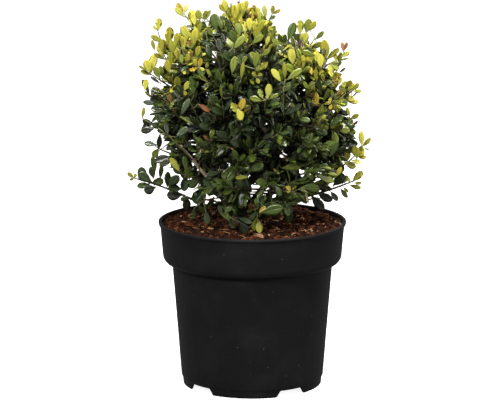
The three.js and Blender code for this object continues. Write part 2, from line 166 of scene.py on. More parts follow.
# puts a shape into a mesh object that rides on the plant
def addPiece(name, shape, materials, replaced, mapName=None, crease=None):
    mesh = bpy.data.meshes.new(name)
    points = toFrame(shape["points"]).astype(np.float32)
    sizes = np.concatenate([np.full(len(f), f.shape[1]) for f in shape["faces"]])
    corners = np.concatenate([f.ravel() for f in shape["faces"]])
    mesh.vertices.add(len(points))
    mesh.vertices.foreach_set("co", points.ravel())
    mesh.loops.add(len(corners))
    mesh.loops.foreach_set("vertex_index", corners.astype(np.int32))
    mesh.polygons.add(len(sizes))
    mesh.polygons.foreach_set("loop_start", np.concatenate([[0], np.cumsum(sizes)[:-1]]).astype(np.int32))
    mesh.polygons.foreach_set("material_index", np.concatenate(shape["paint"]).astype(np.int32))
    if mapName:  # the pattern's map, and the same map again named OFBake
        for layer in (mapName, "OFBake"):
            mesh.uv_layers.new(name=layer).data.foreach_set("uv", shape["place"][corners].ravel())
    mesh.update(calc_edges=True)
    mesh.shade_smooth()
    if crease:
        mesh.set_sharp_from_angle(angle=np.radians(crease))
    for material in materials:
        mesh.materials.append(material)
    piece = bpy.data.objects.new(name, mesh)
    bpy.context.scene.collection.objects.link(piece)
    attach(piece, "root")
    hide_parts(*replaced)
    mesh.calc_loop_triangles()
    print(f"{name}: {len(mesh.loop_triangles)} triangles")
    return piece


# Materials

# a socket that takes part in Python sums: each operator adds a Math node
class Shade:
    def __init__(self, tree, out=None):
        self.tree, self.out = tree, out

    # adds a node: its settings first, then the values or links of its sockets
    def node(self, kind, settings=None, inputs=None, give=0):
        made = self.tree.nodes.new(kind)
        for name, value in (settings or {}).items():
            if name == "stops":
                while len(made.color_ramp.elements) < len(value):
                    made.color_ramp.elements.new(1)
                for stop, (position, colour) in zip(made.color_ramp.elements, value):
                    stop.position, stop.color = position, (*colour, 1)
            else:
                setattr(made, name, value)
        for name, value in (inputs or {}).items():
            if isinstance(value, Shade):
                self.tree.links.new(value.out, made.inputs[name])
            else:
                made.inputs[name].default_value = value
        return Shade(self.tree, made.outputs[give] if made.outputs else None)

    def sum(self, operation, a, b=0.0):
        return self.node("ShaderNodeMath", {"operation": operation}, {0: a, 1: b})

    def __add__(self, other):
        return self.sum("ADD", self, other)

    def __sub__(self, other):
        return self.sum("SUBTRACT", self, other)

    def __rsub__(self, other):
        return self.sum("SUBTRACT", other, self)

    def __mul__(self, other):
        return self.sum("MULTIPLY", self, other)

    def __truediv__(self, other):
        return self.sum("DIVIDE", self, other)

    __radd__, __rmul__ = __add__, __mul__

    def __abs__(self):
        return self.sum("ABSOLUTE", self)

    def part(self):
        return self.sum("FRACT", self)

    # 0 below low, 1 above high
    def rising(self, low, high):
        return self.node("ShaderNodeMapRange", {"interpolation_type": "SMOOTHSTEP"},
                         {"Value": self, "From Min": low, "From Max": high})

    # from one colour or link to the other
    def blend(self, a, b):
        a, b = (end if isinstance(end, Shade) else (*end, 1) for end in (a, b))
        return self.node("ShaderNodeMix", {"data_type": "RGBA"}, {"Factor": self, 6: a, 7: b}, 2)


# a material and the start of its node sums
def newMaterial(name):
    material = bpy.data.materials.new(name)
    material.use_nodes = True
    tree = material.node_tree
    tree.nodes.clear()
    return material, Shade(tree)


# a material, the start of its node sums, and the object's own coordinates that its pattern reads
def patterned(name):
    material, shade = newMaterial(name)
    return material, shade, shade.node("ShaderNodeTexCoord", give=3)


# closes a material: a Principled shader with its inputs, and a bump of some height in metres if given
def surface(shade, inputs, bump=None, height=0.0):
    if bump:
        inputs["Normal"] = shade.node("ShaderNodeBump", None, {"Height": bump, "Distance": height})
    shader = shade.node("ShaderNodeBsdfPrincipled", None, inputs)
    shade.node("ShaderNodeOutputMaterial", None, {"Surface": shader})


# a noise texture read at some coordinates
def noiseAt(shade, where, scale, detail=2.0, roughness=0.5):
    return shade.node("ShaderNodeTexNoise", {"noise_dimensions": "3D"},
                      {"Vector": where, "Scale": scale, "Detail": detail, "Roughness": roughness})


# noise drawn out or pressed together along the axes
def stretchedNoise(shade, where, stretch, scale, detail=2.0, roughness=0.5):
    mapped = shade.node("ShaderNodeMapping", None, {"Vector": where, "Scale": stretch})
    return noiseAt(shade, mapped, scale, detail, roughness)


# Growth: the rule and sizes of the solids, from trunk to shoots

growth = {
    "soilLevel": potHeight - 9, "gap": 0.3,
    "trunkFoot": (-13, 0), "trunkFork": (-7, 3, 226), "trunkRadii": (6.4, 4.4), "trunkSway": (-4, -2, -26),
    "rootFlare": 3.6, "flareShare": 0.09, "rootLobes": 3, "lobeDepth": 0.35,
    "crownMiddle": (0, 0, 281), "halfWidth": 107, "rise": 105, "drop": 108, "squareness": (2.4, 3.2),
    # bearing, rise, gain, width
    "lobes": [(180, 49, 0.13, 22), (0, 52, -0.08, 22), (180, -31, 0.17, 12), (0, -32, 0.13, 16),
              (0, -14, 0.06, 11), (95, 35, 0.06, 26), (262, 8, 0.05, 24)],
    # name, count, rise, bearing, depth, leaves the trunk at, radius
    "rings": [("top", 1, 88, 150, 0.62, 1, 3.9), ("upper", 5, 30, 38, 0.63, 0.93, 3.4),
              ("lower", 7, -13, 355, 0.64, 0.62, 3.1), ("low", 3, -55, 275, 0.72, 0.3, 2.6)],
    "kneeShare": 0.32, "tipShare": 0.55, "tipRadius": 2.2, "jitter": 6, "stagger": 0.06, "sag": 7,
    "shoots": 140, "lowestAim": -0.95, "shootReach": (0.77, 0.86), "shootyPart": (0.97, 0.12),
    # bearing, rise, reach
    "leaders": [(178, 55, 129), (186, 43, 131), (186, -27, 139), (196, -35, 138), (356, -15, 123),
                (10, -27, 128), (352, -35, 134), (350, 33, 115), (250, 87, 113)],
    "leafPastTip": 21,
}
crownMiddle = np.array(growth["crownMiddle"], float)


# distance from the crown's middle to its outline: a rounded box, swollen by bell-shaped lobes
def crownReach(aims):
    above = aims[..., 2] > 0
    power = np.where(above, *growth["squareness"])
    height = np.where(above, growth["rise"], growth["drop"])
    level = np.hypot(aims[..., 0], aims[..., 1]) / growth["halfWidth"]
    box = (level ** power + np.abs(aims[..., 2] / height) ** power) ** (-1 / power)
    swell = np.ones(aims.shape[:-1])
    for bearing, rise, gain, width in growth["lobes"]:
        angle = np.degrees(np.arccos(np.clip(aims @ direction(bearing, rise), -1, 1)))
        swell += gain * np.exp(-((angle / width) ** 2))
    return box * swell


# points that lie a share of the way from the crown's middle to its outline
def crownPoint(aims, depth):
    return crownMiddle + aims * (crownReach(aims) * depth)[..., None]


# how deep a point lies: 0 at the crown's middle, 1 on its outline
def depthOf(points):
    off = points - crownMiddle
    return np.linalg.norm(off, axis=-1) / crownReach(unit(off))


# a curve of three or four corners, each weighted by its Bernstein polynomial of t
def bezier(corners, t):
    t = np.asarray(t, float)[..., None]
    if len(corners) == 3:
        a, b, c = corners
        return a * (1 - t) ** 2 + b * 2 * t * (1 - t) + c * t ** 2
    a, b, c, d = corners
    return a * (1 - t) ** 3 + b * 3 * t * (1 - t) ** 2 + c * 3 * t ** 2 * (1 - t) + d * t ** 3


# points of a curve at even shares of its length
def evenly(corners, shares):
    fine = bezier(corners, np.linspace(0, 1, 401))
    run = np.concatenate([[0], np.cumsum(np.linalg.norm(np.diff(fine, axis=0), axis=1))])
    at = np.asarray(shares) * run[-1]
    return np.stack([np.interp(at, run, fine[:, i]) for i in range(3)], -1)


trunkFoot = np.array([*growth["trunkFoot"], growth["soilLevel"] + growth["gap"]], float)
trunkFork = np.array(growth["trunkFork"], float)
trunkSway = np.array(growth["trunkSway"], float)
trunkCurve = (trunkFoot, trunkFoot - up * trunkSway[2], trunkFork + trunkSway, trunkFork)


# every bough as a quadratic curve from the trunk towards the middle of its mass
def growBoughs():
    grown = []
    upTrunk = unit(trunkFork - trunkCurve[2])
    for name, count, rise, bearing, depth, leaves, radius in growth["rings"]:
        for i in range(count):
            leader = leaves == 1
            turn = bearing + 360 * i / count + growth["jitter"] * (2 * chance(len(grown), 1) - 1)
            middle = crownPoint(direction(turn, rise), np.float64(depth))
            root = evenly(trunkCurve, 1 if leader else leaves - growth["stagger"] * (i % 3))
            knee = mix(root, middle, growth["kneeShare"]) - up * growth["sag"]
            if leader:
                knee = root + upTrunk * growth["kneeShare"] * np.linalg.norm(middle - root)
            tip = mix(knee, middle, growth["tipShare"])
            fullName = name if leader else f"{name}_{i + 1}"
            grown.append({"name": fullName, "radius": radius, "middle": middle, "curve": (root, knee, tip)})
    return grown


# where the shoots end: the leading ones, then a spiral of even points inside the outline
def shootTargets():
    leaders = np.array(growth["leaders"], float)
    ends = crownMiddle + direction(leaders[:, 0], leaders[:, 1]) * (leaders[:, 2:] - growth["leafPastTip"])
    index = np.arange(growth["shoots"])
    height = 1 - (2 * index + 1) / growth["shoots"]
    index, height = index[height >= growth["lowestAim"]], height[height >= growth["lowestAim"]]
    level, turn = np.sqrt(1 - height ** 2), index * goldenAngle
    aims = np.stack([level * np.cos(turn), level * np.sin(turn), height], -1)
    return np.concatenate([ends, crownPoint(aims, mix(*growth["shootReach"], chance(index, 2)))])


boughs = growBoughs()
middles = np.array([b["middle"] for b in boughs])
boughNames = ["bough_" + b["name"] for b in boughs]
foliageNames = ["foliage_" + b["name"] for b in boughs]
print("growth:", len(boughs), "boughs")


# Camera, floor and lights

studio = {
    # place in mm, degrees down, lens and sensor in mm, and how far it sees in metres
    "camera": (-2.3, -3018, 809.5), "pitch": 11.66, "lens": 222.0, "sensor": 36, "farthest": 100,
    "floorSize": 16000, "floorColour": (0.5, 0.5, 0.5), "floorRoughness": 0.9, "floorGlow": 0.9, "sky": 0.29,
    "lightColour": (1, 0.975, 0.92),
    # name, place, what it is turned to, size, all in mm, and watts
    "lights": [("keyLight", (-900, -1700, 1500), (0, 0, 260), 480, 54),
               ("topLight", (250, -250, 1900), (0, 0, 260), 900, 96),
               ("fillLight", (1500, -1500, 900), (0, 0, 230), 800, 20),
               ("backLeftLight", (-1500, 1500, 700), (0, 0, 230), 1000, 30),
               ("backRightLight", (1500, 1500, 700), (0, 0, 230), 1000, 30)],
}
cameraAt = np.array(studio["camera"], float)
cameraTilt, photoSize = np.radians(studio["pitch"]), (500, 400)
cameraUp = np.array([0, np.sin(cameraTilt), np.cos(cameraTilt)])
cameraAhead = np.array([0, np.cos(cameraTilt), -np.sin(cameraTilt)])
focalPixels = photoSize[0] * studio["lens"] / studio["sensor"]


# camera, area lights, an even white world, and a pale floor that glows a little
def buildStudio():
    camera = bpy.data.objects.new("camera", bpy.data.cameras.new("camera"))
    camera.location = toFrame(cameraAt)
    camera.rotation_euler = (np.radians(90 - studio["pitch"]), 0, 0)
    camera.data.lens, camera.data.sensor_width = studio["lens"], studio["sensor"]
    camera.data.clip_end = studio["farthest"]
    bpy.context.scene.collection.objects.link(camera)
    bpy.context.scene.camera = camera
    for name, place, target, size, watts in studio["lights"]:
        light = bpy.data.lights.new(name, "AREA")
        light.size, light.energy, light.color = size * mm, watts, studio["lightColour"]
        lamp = bpy.data.objects.new(name, light)
        lamp.location = toFrame(place)
        away = Vector(toFrame(place) - toFrame(target))
        lamp.rotation_euler = away.to_track_quat("Z", "Y").to_euler()
        lamp.visible_glossy = not name.startswith("back")  # no sheen past the leaves' edges
        bpy.context.scene.collection.objects.link(lamp)
    world = bpy.data.worlds.new("studio")
    world.use_nodes = True
    world.node_tree.nodes["Background"].inputs["Color"].default_value = (1, 1, 1, 1)
    world.node_tree.nodes["Background"].inputs["Strength"].default_value = studio["sky"]
    bpy.context.scene.world = world
    bpy.context.scene.view_settings.view_transform = "Standard"
    half = studio["floorSize"] / 2
    material, shade = newMaterial("paleFloor")
    surface(shade, {"Base Color": (*studio["floorColour"], 1), "Roughness": studio["floorRoughness"],
                    "Emission Color": (1, 1, 1, 1), "Emission Strength": studio["floorGlow"]})
    mesh = bpy.data.meshes.new("floor")
    mesh.from_pydata(toFrame([(-half, -half, 0), (half, -half, 0), (half, half, 0), (-half, half, 0)]),
                     [], [(0, 1, 2, 3)])
    mesh.materials.append(material)
    floor = bpy.data.objects.new("floor", mesh)
    bpy.context.scene.collection.objects.link(floor)
    floor.visible_glossy, floor.visible_diffuse = False, False  # no pale floor in the glossy leaves


# where points are seen in the picture, in pixels from its top left corner
def seen(points):
    off = points - cameraAt
    scale = focalPixels / (off @ cameraAhead)
    return np.stack([photoSize[0] / 2 + off[..., 0] * scale, photoSize[1] / 2 - off @ cameraUp * scale], -1)


# the way from the camera through pixels of the picture
def sightLine(places):
    off = (np.asarray(places, float) - np.array(photoSize) / 2) / focalPixels
    return cameraAhead + off[..., :1] * [1.0, 0, 0] - off[..., 1:] * cameraUp


# the places seen at pixels of the picture, some way behind the pot's axis
def fromPhoto(places, depth):
    way = sightLine(places)
    return cameraAt + way * ((depth - cameraAt[1]) / way[..., 1])[..., None]


buildStudio()


# Pot

pot = {
    "wall": 1.6, "lipDepth": 3.5, "lipSlope": 1.0, "edge": 0.6, "collarRadii": (92.3, 89.7),
    "shoulder": (132.3, 123.8), "wallRadii": (80.4, 71.4), "footRadius": 70.1, "footHeight": 7,
    "footThickness": 2.4, "base": 2.0, "segments": 360,
    "notches": 5, "frontFoot": 263, "frontSpan": 82, "notchWidths": (33, 25), "notchHeight": 6.5,
    "drain": (15, 7, 59),  # length, width, distance from the axis
    "black": (0.0058, 0.0055, 0.0064), "worn": (0.0105, 0.01, 0.0114), "dust": (0.09, 0.082, 0.07),
    "shine": 0.12, "roughness": 0.52, "grainHeight": 0.00022, "crease": 40, "weld": 0.03,
    "clouds": 26, "grain": 1500, "scuffs": (60, 60, 420), "specks": 230.0,  # scales of the patterns
}


# one notch at each end of the front foot, the others evenly round the rest of the ring
def notchBearings():
    first = pot["frontFoot"] + pot["frontSpan"] / 2
    return first + np.arange(pot["notches"]) * (360 - pot["frontSpan"]) / (pot["notches"] - 1)


# an arc of a profile between two bearings, as radius and height
def arc(middle, radius, start, end, count):
    turn = np.radians(np.linspace(start, end, count))
    return np.stack([middle[0] + radius * np.cos(turn), middle[1] + radius * np.sin(turn)], -1)


# points of a straight stretch of a profile, between two shares of its length
def straight(start, end, first, last, count):
    return mix(np.array(start), np.array(end), np.linspace(first, last, count)[:, None])


# the pot's profile from under its base, over the lip and down its inside, as radius and height
def potProfile():
    foot, outer, edge, wall = (pot[key] for key in ("footHeight", "footRadius", "edge", "wall"))
    (collarTop, collarFoot), (wallTop, wallFoot) = pot["collarRadii"], pot["wallRadii"]
    inner, floor = outer - pot["footThickness"], foot + pot["base"]
    top, lipFoot, lipEdge = potHeight, potHeight - pot["lipDepth"], lipRadius - edge
    turn = np.radians(np.linspace(0, 90, 9))
    shoulder = np.stack([mix(wallTop, collarFoot, np.sin(turn)), mix(*pot["shoulder"], np.cos(turn))], -1)
    inside = shoulder + [-wall, wall]
    parts = [
        [(0.01, foot), (inner * 0.5, foot), (inner - edge, foot), (inner, foot - edge), (inner, foot / 2)],
        [(inner, edge / 2), (inner + edge / 2, 0), (outer - edge * 1.6, 0), (outer - edge * 1.1, edge / 2)],
        [(outer - edge / 2, foot / 2), (outer, foot), (outer + edge / 2, foot + edge)],
        [(wallFoot - edge / 3, floor - edge / 2), (wallFoot, floor + edge)],
        straight((wallFoot, floor), shoulder[0], 0.1, 0.95, 7),
        shoulder,
        straight(shoulder[-1], (collarTop, lipFoot), 0.06, 0.97, 6),
        [(collarTop + edge / 3, lipFoot), (lipRadius - edge / 2, lipFoot + pot["lipSlope"] * 0.7)],
        arc((lipEdge, lipFoot + pot["lipSlope"] + edge), edge, -30, 0, 3),
        arc((lipEdge, top - edge), edge, 0, 90, 5),
        arc((collarTop - wall + edge, top - edge), edge, 90, 180, 5),
        straight((collarTop - wall, top - edge), inside[-1], 0.1, 1, 5),
        inside[-2::-1],
        [(wallFoot - wall, floor + edge), (wallFoot - wall - edge, floor)],
        [(inner * 0.5, floor), (0.01, floor)],
    ]
    return np.concatenate([np.asarray(part, float) for part in parts])


# how far the pot's foot is cut back at a bearing: a trapezoid at each notch
def notchDepth(bearings):
    depth = np.zeros_like(bearings)
    wide, narrow = (0.5 * w for w in pot["notchWidths"])
    for notch in notchBearings():
        off = np.abs((bearings - notch + 180) % 360 - 180)
        across = pot["footRadius"] * np.sin(np.radians(np.minimum(off, 90)))
        depth = np.maximum(depth, np.clip((wide - across) / (wide - narrow), 0, 1))
    return depth * pot["notchHeight"]


# turned about the axis; below the foot's top, heights are squeezed up out of the notches
def potShape():
    profile = potProfile()
    bearings = np.linspace(0, 360, pot["segments"], endpoint=False)
    turn = np.radians(bearings)
    radius, height = profile[:, :1], profile[:, 1:]
    lifted = notchDepth(bearings)[None]
    foot = pot["footHeight"]
    low = (height < foot) & (radius > pot["footRadius"] * 0.9)
    height = np.where(low, lifted + height * (foot - lifted) / foot, height + 0 * lifted)
    points = np.stack([radius * np.cos(turn), radius * np.sin(turn), height], -1)
    return shapeOf(points, [gridFaces(len(profile), len(turn), True)])


# a slot with round ends through the base, as an upright prism
def drainShape(bearing):
    length, width, distance = pot["drain"]
    half = (length - width) / 2
    ends = [arc((0, half), width / 2, 0, 180, 12), arc((0, -half), width / 2, 180, 360, 12)]
    rim = np.concatenate(ends) + [distance, 0]
    levels = [pot["footHeight"] - pot["base"], pot["footHeight"] + 2 * pot["base"]]
    points = np.stack([np.column_stack([rim, np.full(len(rim), z)]) for z in levels])
    turn = np.radians(bearing)
    spin = np.array([[np.cos(turn), np.sin(turn), 0], [-np.sin(turn), np.cos(turn), 0], [0, 0, 1]])
    ring = np.arange(len(rim))
    caps = np.stack([ring[::-1], len(rim) + ring])
    return shapeOf(points @ spin, [gridFaces(2, len(rim), True), caps])


# black moulded plastic: fine grain, faint cloudy wear, a little pale dust
def blackPlastic():
    material, shade, where = patterned("blackPlastic")
    cloud = noiseAt(shade, where, pot["clouds"], 4, 0.6)
    grain = noiseAt(shade, where, pot["grain"], 2, 0.6)
    scuff = stretchedNoise(shade, where, pot["scuffs"], 1, 3)
    cells = {"Vector": where, "Scale": pot["specks"], "Randomness": 1.0}
    specks = shade.node("ShaderNodeTexVoronoi", None, cells)
    sizes = shade.node("ShaderNodeTexVoronoi", None, cells, 1)
    sparse = shade.node("ShaderNodeSeparateColor", None, {"Color": sizes}).rising(0.86, 0.97)
    dust = (1 - specks.rising(0.05, 0.17)) * sparse
    wear = cloud.rising(0.42, 0.75) * 0.75 + scuff.rising(0.56, 0.72) * 0.25
    colour = (dust * 0.75).blend(wear.blend(pot["black"], pot["worn"]), pot["dust"])
    surface(shade, {"Base Color": colour, "Roughness": pot["roughness"] + wear * 0.16 + dust * 0.3,
                    "Specular IOR Level": pot["shine"]}, grain * 0.7 + cloud * 0.5, pot["grainHeight"])
    return material


# the turned pot, welded at its axis, with the drain slots cut out of it
def buildPot():
    piece = addPiece("nurseryPot", potShape(), [blackPlastic()], ["pot"])
    cutter = bpy.data.meshes.new("drains")
    slots = joined([drainShape(bearing) for bearing in notchBearings()])
    cutter.from_pydata(toFrame(slots["points"]), [], [list(f) for faces in slots["faces"] for f in faces])
    drains = bpy.data.objects.new("drains", cutter)
    bpy.context.scene.collection.objects.link(drains)
    weld = piece.modifiers.new("weld", "WELD")
    weld.merge_threshold = pot["weld"] * mm
    cut = piece.modifiers.new("drains", "BOOLEAN")
    cut.object, cut.operation, cut.solver = drains, "DIFFERENCE", "EXACT"
    whole = bpy.data.meshes.new_from_object(piece.evaluated_get(bpy.context.evaluated_depsgraph_get()))
    piece.modifiers.clear()
    piece.data = whole
    whole.set_sharp_from_angle(angle=np.radians(pot["crease"]))
    bpy.data.objects.remove(drains)


buildPot()


# Compost

soil = {
    "level": growth["soilLevel"] + 5, "lump": 1.6, "lumpLength": 42, "flatRing": (14, 26),
    "rings": 90, "segments": 220, "clods": (11, 1.3), "grains": (4.2, 0.75), "edgeClearance": 0.3,
    "dark": (0.008, 0.0038, 0.0024), "red": (0.062, 0.02, 0.008), "tan": (0.22, 0.1, 0.04), "shine": 0.12,
    "crumbs": 2100, "crumbSizes": (0.7, 2.2), "crumbForm": (1.3, 0.9, 0.6), "crumbTip": 60,
    "chips": 260, "chipSizes": (1.8, 4.2), "chipForm": (1.35, 0.8, 0.3), "chipTip": 28, "forms": 3,
    "fibres": 90, "fibreLength": (6, 17), "fibreRadius": (0.22, 0.5), "fibreBend": (1.6, 1.6, 0.64),
    "fibreTaper": (0.5, 1, 1, 0.9, 0.8, 0.3), "straws": 16, "strawLength": (6, 13), "strawWidth": (0.5, 1.1),
    "strawThickness": 0.4, "bumpHeight": 0.0009, "crease": 55,
    # pieces that show in the photograph, in its pixels: across, down, then length, width, bearing, and
    # 0 red, 1 tan, 2 straw
    "placed": [
        (180, 216, 6, 5, 20, 1), (176, 223, 11, 7, 160, 1), (188, 226, 9, 6, 30, 0), (171, 222, 7, 5, 60, 0),
        (200, 232, 15, 2, 5, 2), (210, 230, 9, 3, 150, 2), (213, 226, 6, 2, 100, 2),
        (205, 233, 11, 2, 170, 2),
        (230, 235, 5, 4, 0, 1), (243, 234, 7, 5, 20, 0), (275, 221, 5, 4, 90, 1), (274, 226, 5, 4, 40, 1),
        (284, 222, 12, 2, 175, 2), (277, 231, 7, 2, 10, 2), (254, 236, 8, 2, 175, 2), (306, 221, 5, 8, 80, 0),
        (338, 222, 5, 5, 30, 1), (324, 216, 9, 5, 10, 0), (300, 226, 8, 6, 120, 0), (288, 231, 8, 4, 20, 0),
        (312, 229, 7, 5, 140, 0), (322, 225, 6, 5, 70, 0)],
    "placedAbove": 1, "placedLift": 0.6, "placedBreadth": 1.6,
}
# crumbs and chips: their material, its darker and lighter colour, its flecks and how many, and their share
crumbKinds = {
    "crumbsDark": ("crumbDark", soil["dark"], (0.03, 0.011, 0.006), soil["red"], 0.02, 0.58),
    "crumbsRed": ("crumbRed", (0.03, 0.0095, 0.0045), (0.14, 0.043, 0.015), soil["tan"], 0.05, 0.37),
    "crumbsTan": ("crumbTan", (0.22, 0.11, 0.055), (0.5, 0.3, 0.17), (0.6, 0.42, 0.26), 0.1, 0.05),
}
strawColours = ((0.2, 0.09, 0.035), (0.42, 0.24, 0.1), (0.5, 0.34, 0.18), 0.1)


# inner radius of the collar: straight from its foot to its top, less the wall
def innerRadius(height):
    top, foot = pot["collarRadii"]
    return mix(foot, top, (height - pot["shoulder"][0]) / (potHeight - pot["shoulder"][0])) - pot["wall"]


# height of the compost: the solids' two crossing waves, with clods and grains added as noise
def soilHeight(x, y):
    fromTrunk = np.hypot(x - trunkFoot[0], y - trunkFoot[1])
    clear = ease(*soil["flatRing"], fromTrunk)
    turn = 2 * np.pi / soil["lumpLength"]
    lump = soil["lump"] * clear * np.sin(turn * (x + y / 3)) * np.cos(turn * (y - x / 5))
    places = np.stack([x, y], -1)
    for seed, (length, size) in enumerate((soil["clods"], soil["grains"])):
        lump = lump + size * waves(places, length, 40 + seed)
    return soil["level"] + lump


# the compost's top as rings about the axis, and its side down to the pot's base
def soilShape():
    edge = innerRadius(soil["level"]) - soil["edgeClearance"]
    radius = edge * np.linspace(0.004, 1, soil["rings"]) ** 0.8
    turn = np.linspace(0, 2 * np.pi, soil["segments"], endpoint=False)
    x, y = radius[:, None] * np.cos(turn), radius[:, None] * np.sin(turn)
    top = np.stack([x, y, soilHeight(x, y)], -1)[::-1]
    foot = pot["footHeight"] + pot["base"] + soil["edgeClearance"]
    inset = pot["wall"] + soil["edgeClearance"]
    side = np.array([(pot["wallRadii"][1] - inset, foot),
                     (pot["wallRadii"][0] - inset, pot["shoulder"][1] + inset),
                     (pot["collarRadii"][1] - inset, pot["shoulder"][0] + inset)])
    wide, level = side[:, :1], side[:, 1:]
    below = np.stack([wide * np.cos(turn), wide * np.sin(turn), level + 0 * turn], -1)
    points = np.concatenate([below, top])
    last = (len(points) - 1) * len(turn) + np.arange(len(turn))
    caps = [np.arange(len(turn))[::-1][None], last[None]]
    return shapeOf(points, [gridFaces(len(points), len(turn), True), *caps])


# a rough lump about the origin: a ball of rings whose radius follows noise, flattened by the sizes
def lumpShape(seed, sizes, rings=5, sides=7, roughness=0.28):
    rise = np.radians(np.linspace(-82, 82, rings))
    turn = np.arange(sides) * 2 * np.pi / sides
    ball = np.stack([np.cos(rise)[:, None] * np.cos(turn), np.cos(rise)[:, None] * np.sin(turn),
                     np.sin(rise)[:, None] + 0 * turn], -1)
    ball = ball * (1 + roughness * waves(ball, 1.5, seed))[..., None] * np.array(sizes)
    ring = np.arange(sides)
    caps = np.stack([ring[::-1], (rings - 1) * sides + ring])
    return shapeOf(ball, [gridFaces(rings, sides, True), caps])


# frames turned anyhow about the upright and tipped by up to some degrees, scaled by sizes
def tumbled(rng, count, tip, sizes):
    ahead = direction(rng.uniform(0, 360, count), rng.uniform(-tip, tip, count))
    roll = direction(rng.uniform(0, 360, count), rng.uniform(90 - tip, 90, count))
    side = unit(np.cross(roll, ahead))
    frames = np.stack([ahead, side, np.cross(ahead, side)], 1)
    return frames * sizes[:, None, None]


# pieces of one kind that are placed: lumps on the compost where the camera sees them
def placedLumps(kind):
    rows = np.array([row for row in soil["placed"] if row[5] == kind], float)
    way = sightLine(rows[:, :2])
    places = cameraAt + way * ((soil["level"] + soil["placedAbove"] - cameraAt[2]) / way[:, 2:])
    places[:, 2] = soilHeight(places[:, 0], places[:, 1]) + soil["placedLift"]
    ahead = direction(rows[:, 4], 0 * rows[:, 4])
    size = np.stack([rows[:, 2], rows[:, 3] * soil["placedBreadth"], rows[:, 3]], -1) / 2
    frames = np.stack([ahead, np.cross(up, ahead), up + 0 * ahead], 1) * size[..., None]
    return strewn(lumpShape(70 + kind, (1, 1, 0.8), 6, 10, 0.3), frames, places)


# places on the compost, evenly spread and clear of the pot's wall
def scatter(rng, count, clear):
    turn = rng.uniform(0, 2 * np.pi, count)
    radius = (innerRadius(soil["level"]) - clear) * np.sqrt(rng.uniform(0, 1, count))
    x, y = radius * np.cos(turn), radius * np.sin(turn)
    return np.stack([x, y, soilHeight(x, y)], -1)


# bark and peat: dark between the clods, red-brown on them, with tan flecks
def peat(name, low, high, fleck, share):
    material, shade, where = patterned(name)
    coarse = noiseAt(shade, where, 190, 4, 0.65)
    fine = noiseAt(shade, where, 900, 3, 0.7)
    flecks = noiseAt(shade, where, 420, 2, 0.5).rising(0.72 - share, 0.8 - share)
    colour = (coarse * 0.6 + fine * 0.4).rising(0.36, 0.66).blend(low, high)
    surface(shade, {"Base Color": flecks.blend(colour, fleck), "Roughness": 0.86 + fine * 0.12,
                    "Specular IOR Level": soil["shine"]}, coarse + fine * 0.6, soil["bumpHeight"])
    return material


# crumbs and chips of one kind, each in a few forms; the red and tan ones also where the photograph shows them
def crumbShape(rng, number, share):
    shapes = []
    crumbCount, chipCount = (int(soil[kind] * share / soil["forms"]) for kind in ("crumbs", "chips"))
    for form in range(soil["forms"]):
        seed = form + 10 * number
        places = scatter(rng, crumbCount, 3) - up * 0.3
        frames = tumbled(rng, crumbCount, soil["crumbTip"], rng.uniform(*soil["crumbSizes"], crumbCount))
        shapes.append(strewn(lumpShape(seed, soil["crumbForm"], roughness=0.5), frames, places))
        places = scatter(rng, chipCount, 6) + up * 0.8
        frames = tumbled(rng, chipCount, soil["chipTip"], rng.uniform(*soil["chipSizes"], chipCount))
        shapes.append(strewn(lumpShape(seed + 50, soil["chipForm"], 5, 8, 0.42), frames, places))
    if number:
        shapes.append(placedLumps(number - 1))
    return joined(shapes)


# thin bent fibres and flat straws lying on the compost
def fibreShape(rng):
    count = soil["fibres"]
    start = scatter(rng, count, 12) + up * 0.9
    way = direction(rng.uniform(0, 360, count), rng.uniform(-4, 14, count))
    run = way * rng.uniform(*soil["fibreLength"], (count, 1))
    bend = rng.normal(0, 1, (count, 3)) * soil["fibreBend"]
    corners = (start[:, None], (start + run / 2 + bend)[:, None], (start + run)[:, None])
    paths = bezier(corners, np.linspace(0, 1, len(soil["fibreTaper"])))
    inside = np.hypot(paths[:, -1, 0], paths[:, -1, 1]) < innerRadius(soil["level"]) - 3
    radii = rng.uniform(*soil["fibreRadius"], (inside.sum(), 1)) * np.array(soil["fibreTaper"])
    count = soil["straws"]
    size = np.stack([rng.uniform(*soil["strawLength"], count) / 2, rng.uniform(*soil["strawWidth"], count),
                     np.full(count, soil["strawThickness"])], -1)
    frames = tumbled(rng, count, 10, np.ones(count)) * size[..., None]
    straws = strewn(lumpShape(90, (1, 1, 1), 5, 8, 0.2), frames, scatter(rng, count, 12) + up * 1.4)
    return joined([tubes(paths[inside], radii, 5), straws, placedLumps(2)])


# the bed, three kinds of crumbs and chips, and the fibres
def buildSoil():
    rng = np.random.default_rng(seeds["crumbs"])
    bed = peat("peat", soil["dark"], soil["red"], soil["tan"], 0.05)
    addPiece("compostBed", soilShape(), [bed], ["compost"])
    for number, (name, (*material, share)) in enumerate(crumbKinds.items()):
        crumbs = crumbShape(rng, number, share)
        addPiece(name, crumbs, [peat(*material)], ["compost"], crease=soil["crease"])
    addPiece("fibres", fibreShape(rng), [peat("straw", *strawColours)], ["compost"])


buildSoil()


# Trunk and boughs

bark = {
    "trunkSteps": 90, "trunkSides": 56, "boughSteps": 44, "boughSides": 22,
    "ridge": 0.09, "ridgeLength": 2.6, "stretch": 5.0,  # share of the radius, round the limb, and along it
    "knot": 0.06, "knotLength": 9, "collar": 0.55, "collarShare": 0.1, "sunk": 3.0, "bumpHeight": 0.0006,
    "trunkDark": (0.014, 0.009, 0.006), "trunkLight": (0.06, 0.039, 0.024),
    "boughDark": (0.028, 0.019, 0.012), "boughLight": (0.14, 0.1, 0.062),
    # the front limb's browns: its own pale tan, made paler still as painted light for its lit upper side
    "limbDark": (0.32, 0.25, 0.17), "limbLight": (0.66, 0.56, 0.41), "pores": (0.33, 0.27, 0.2),
}


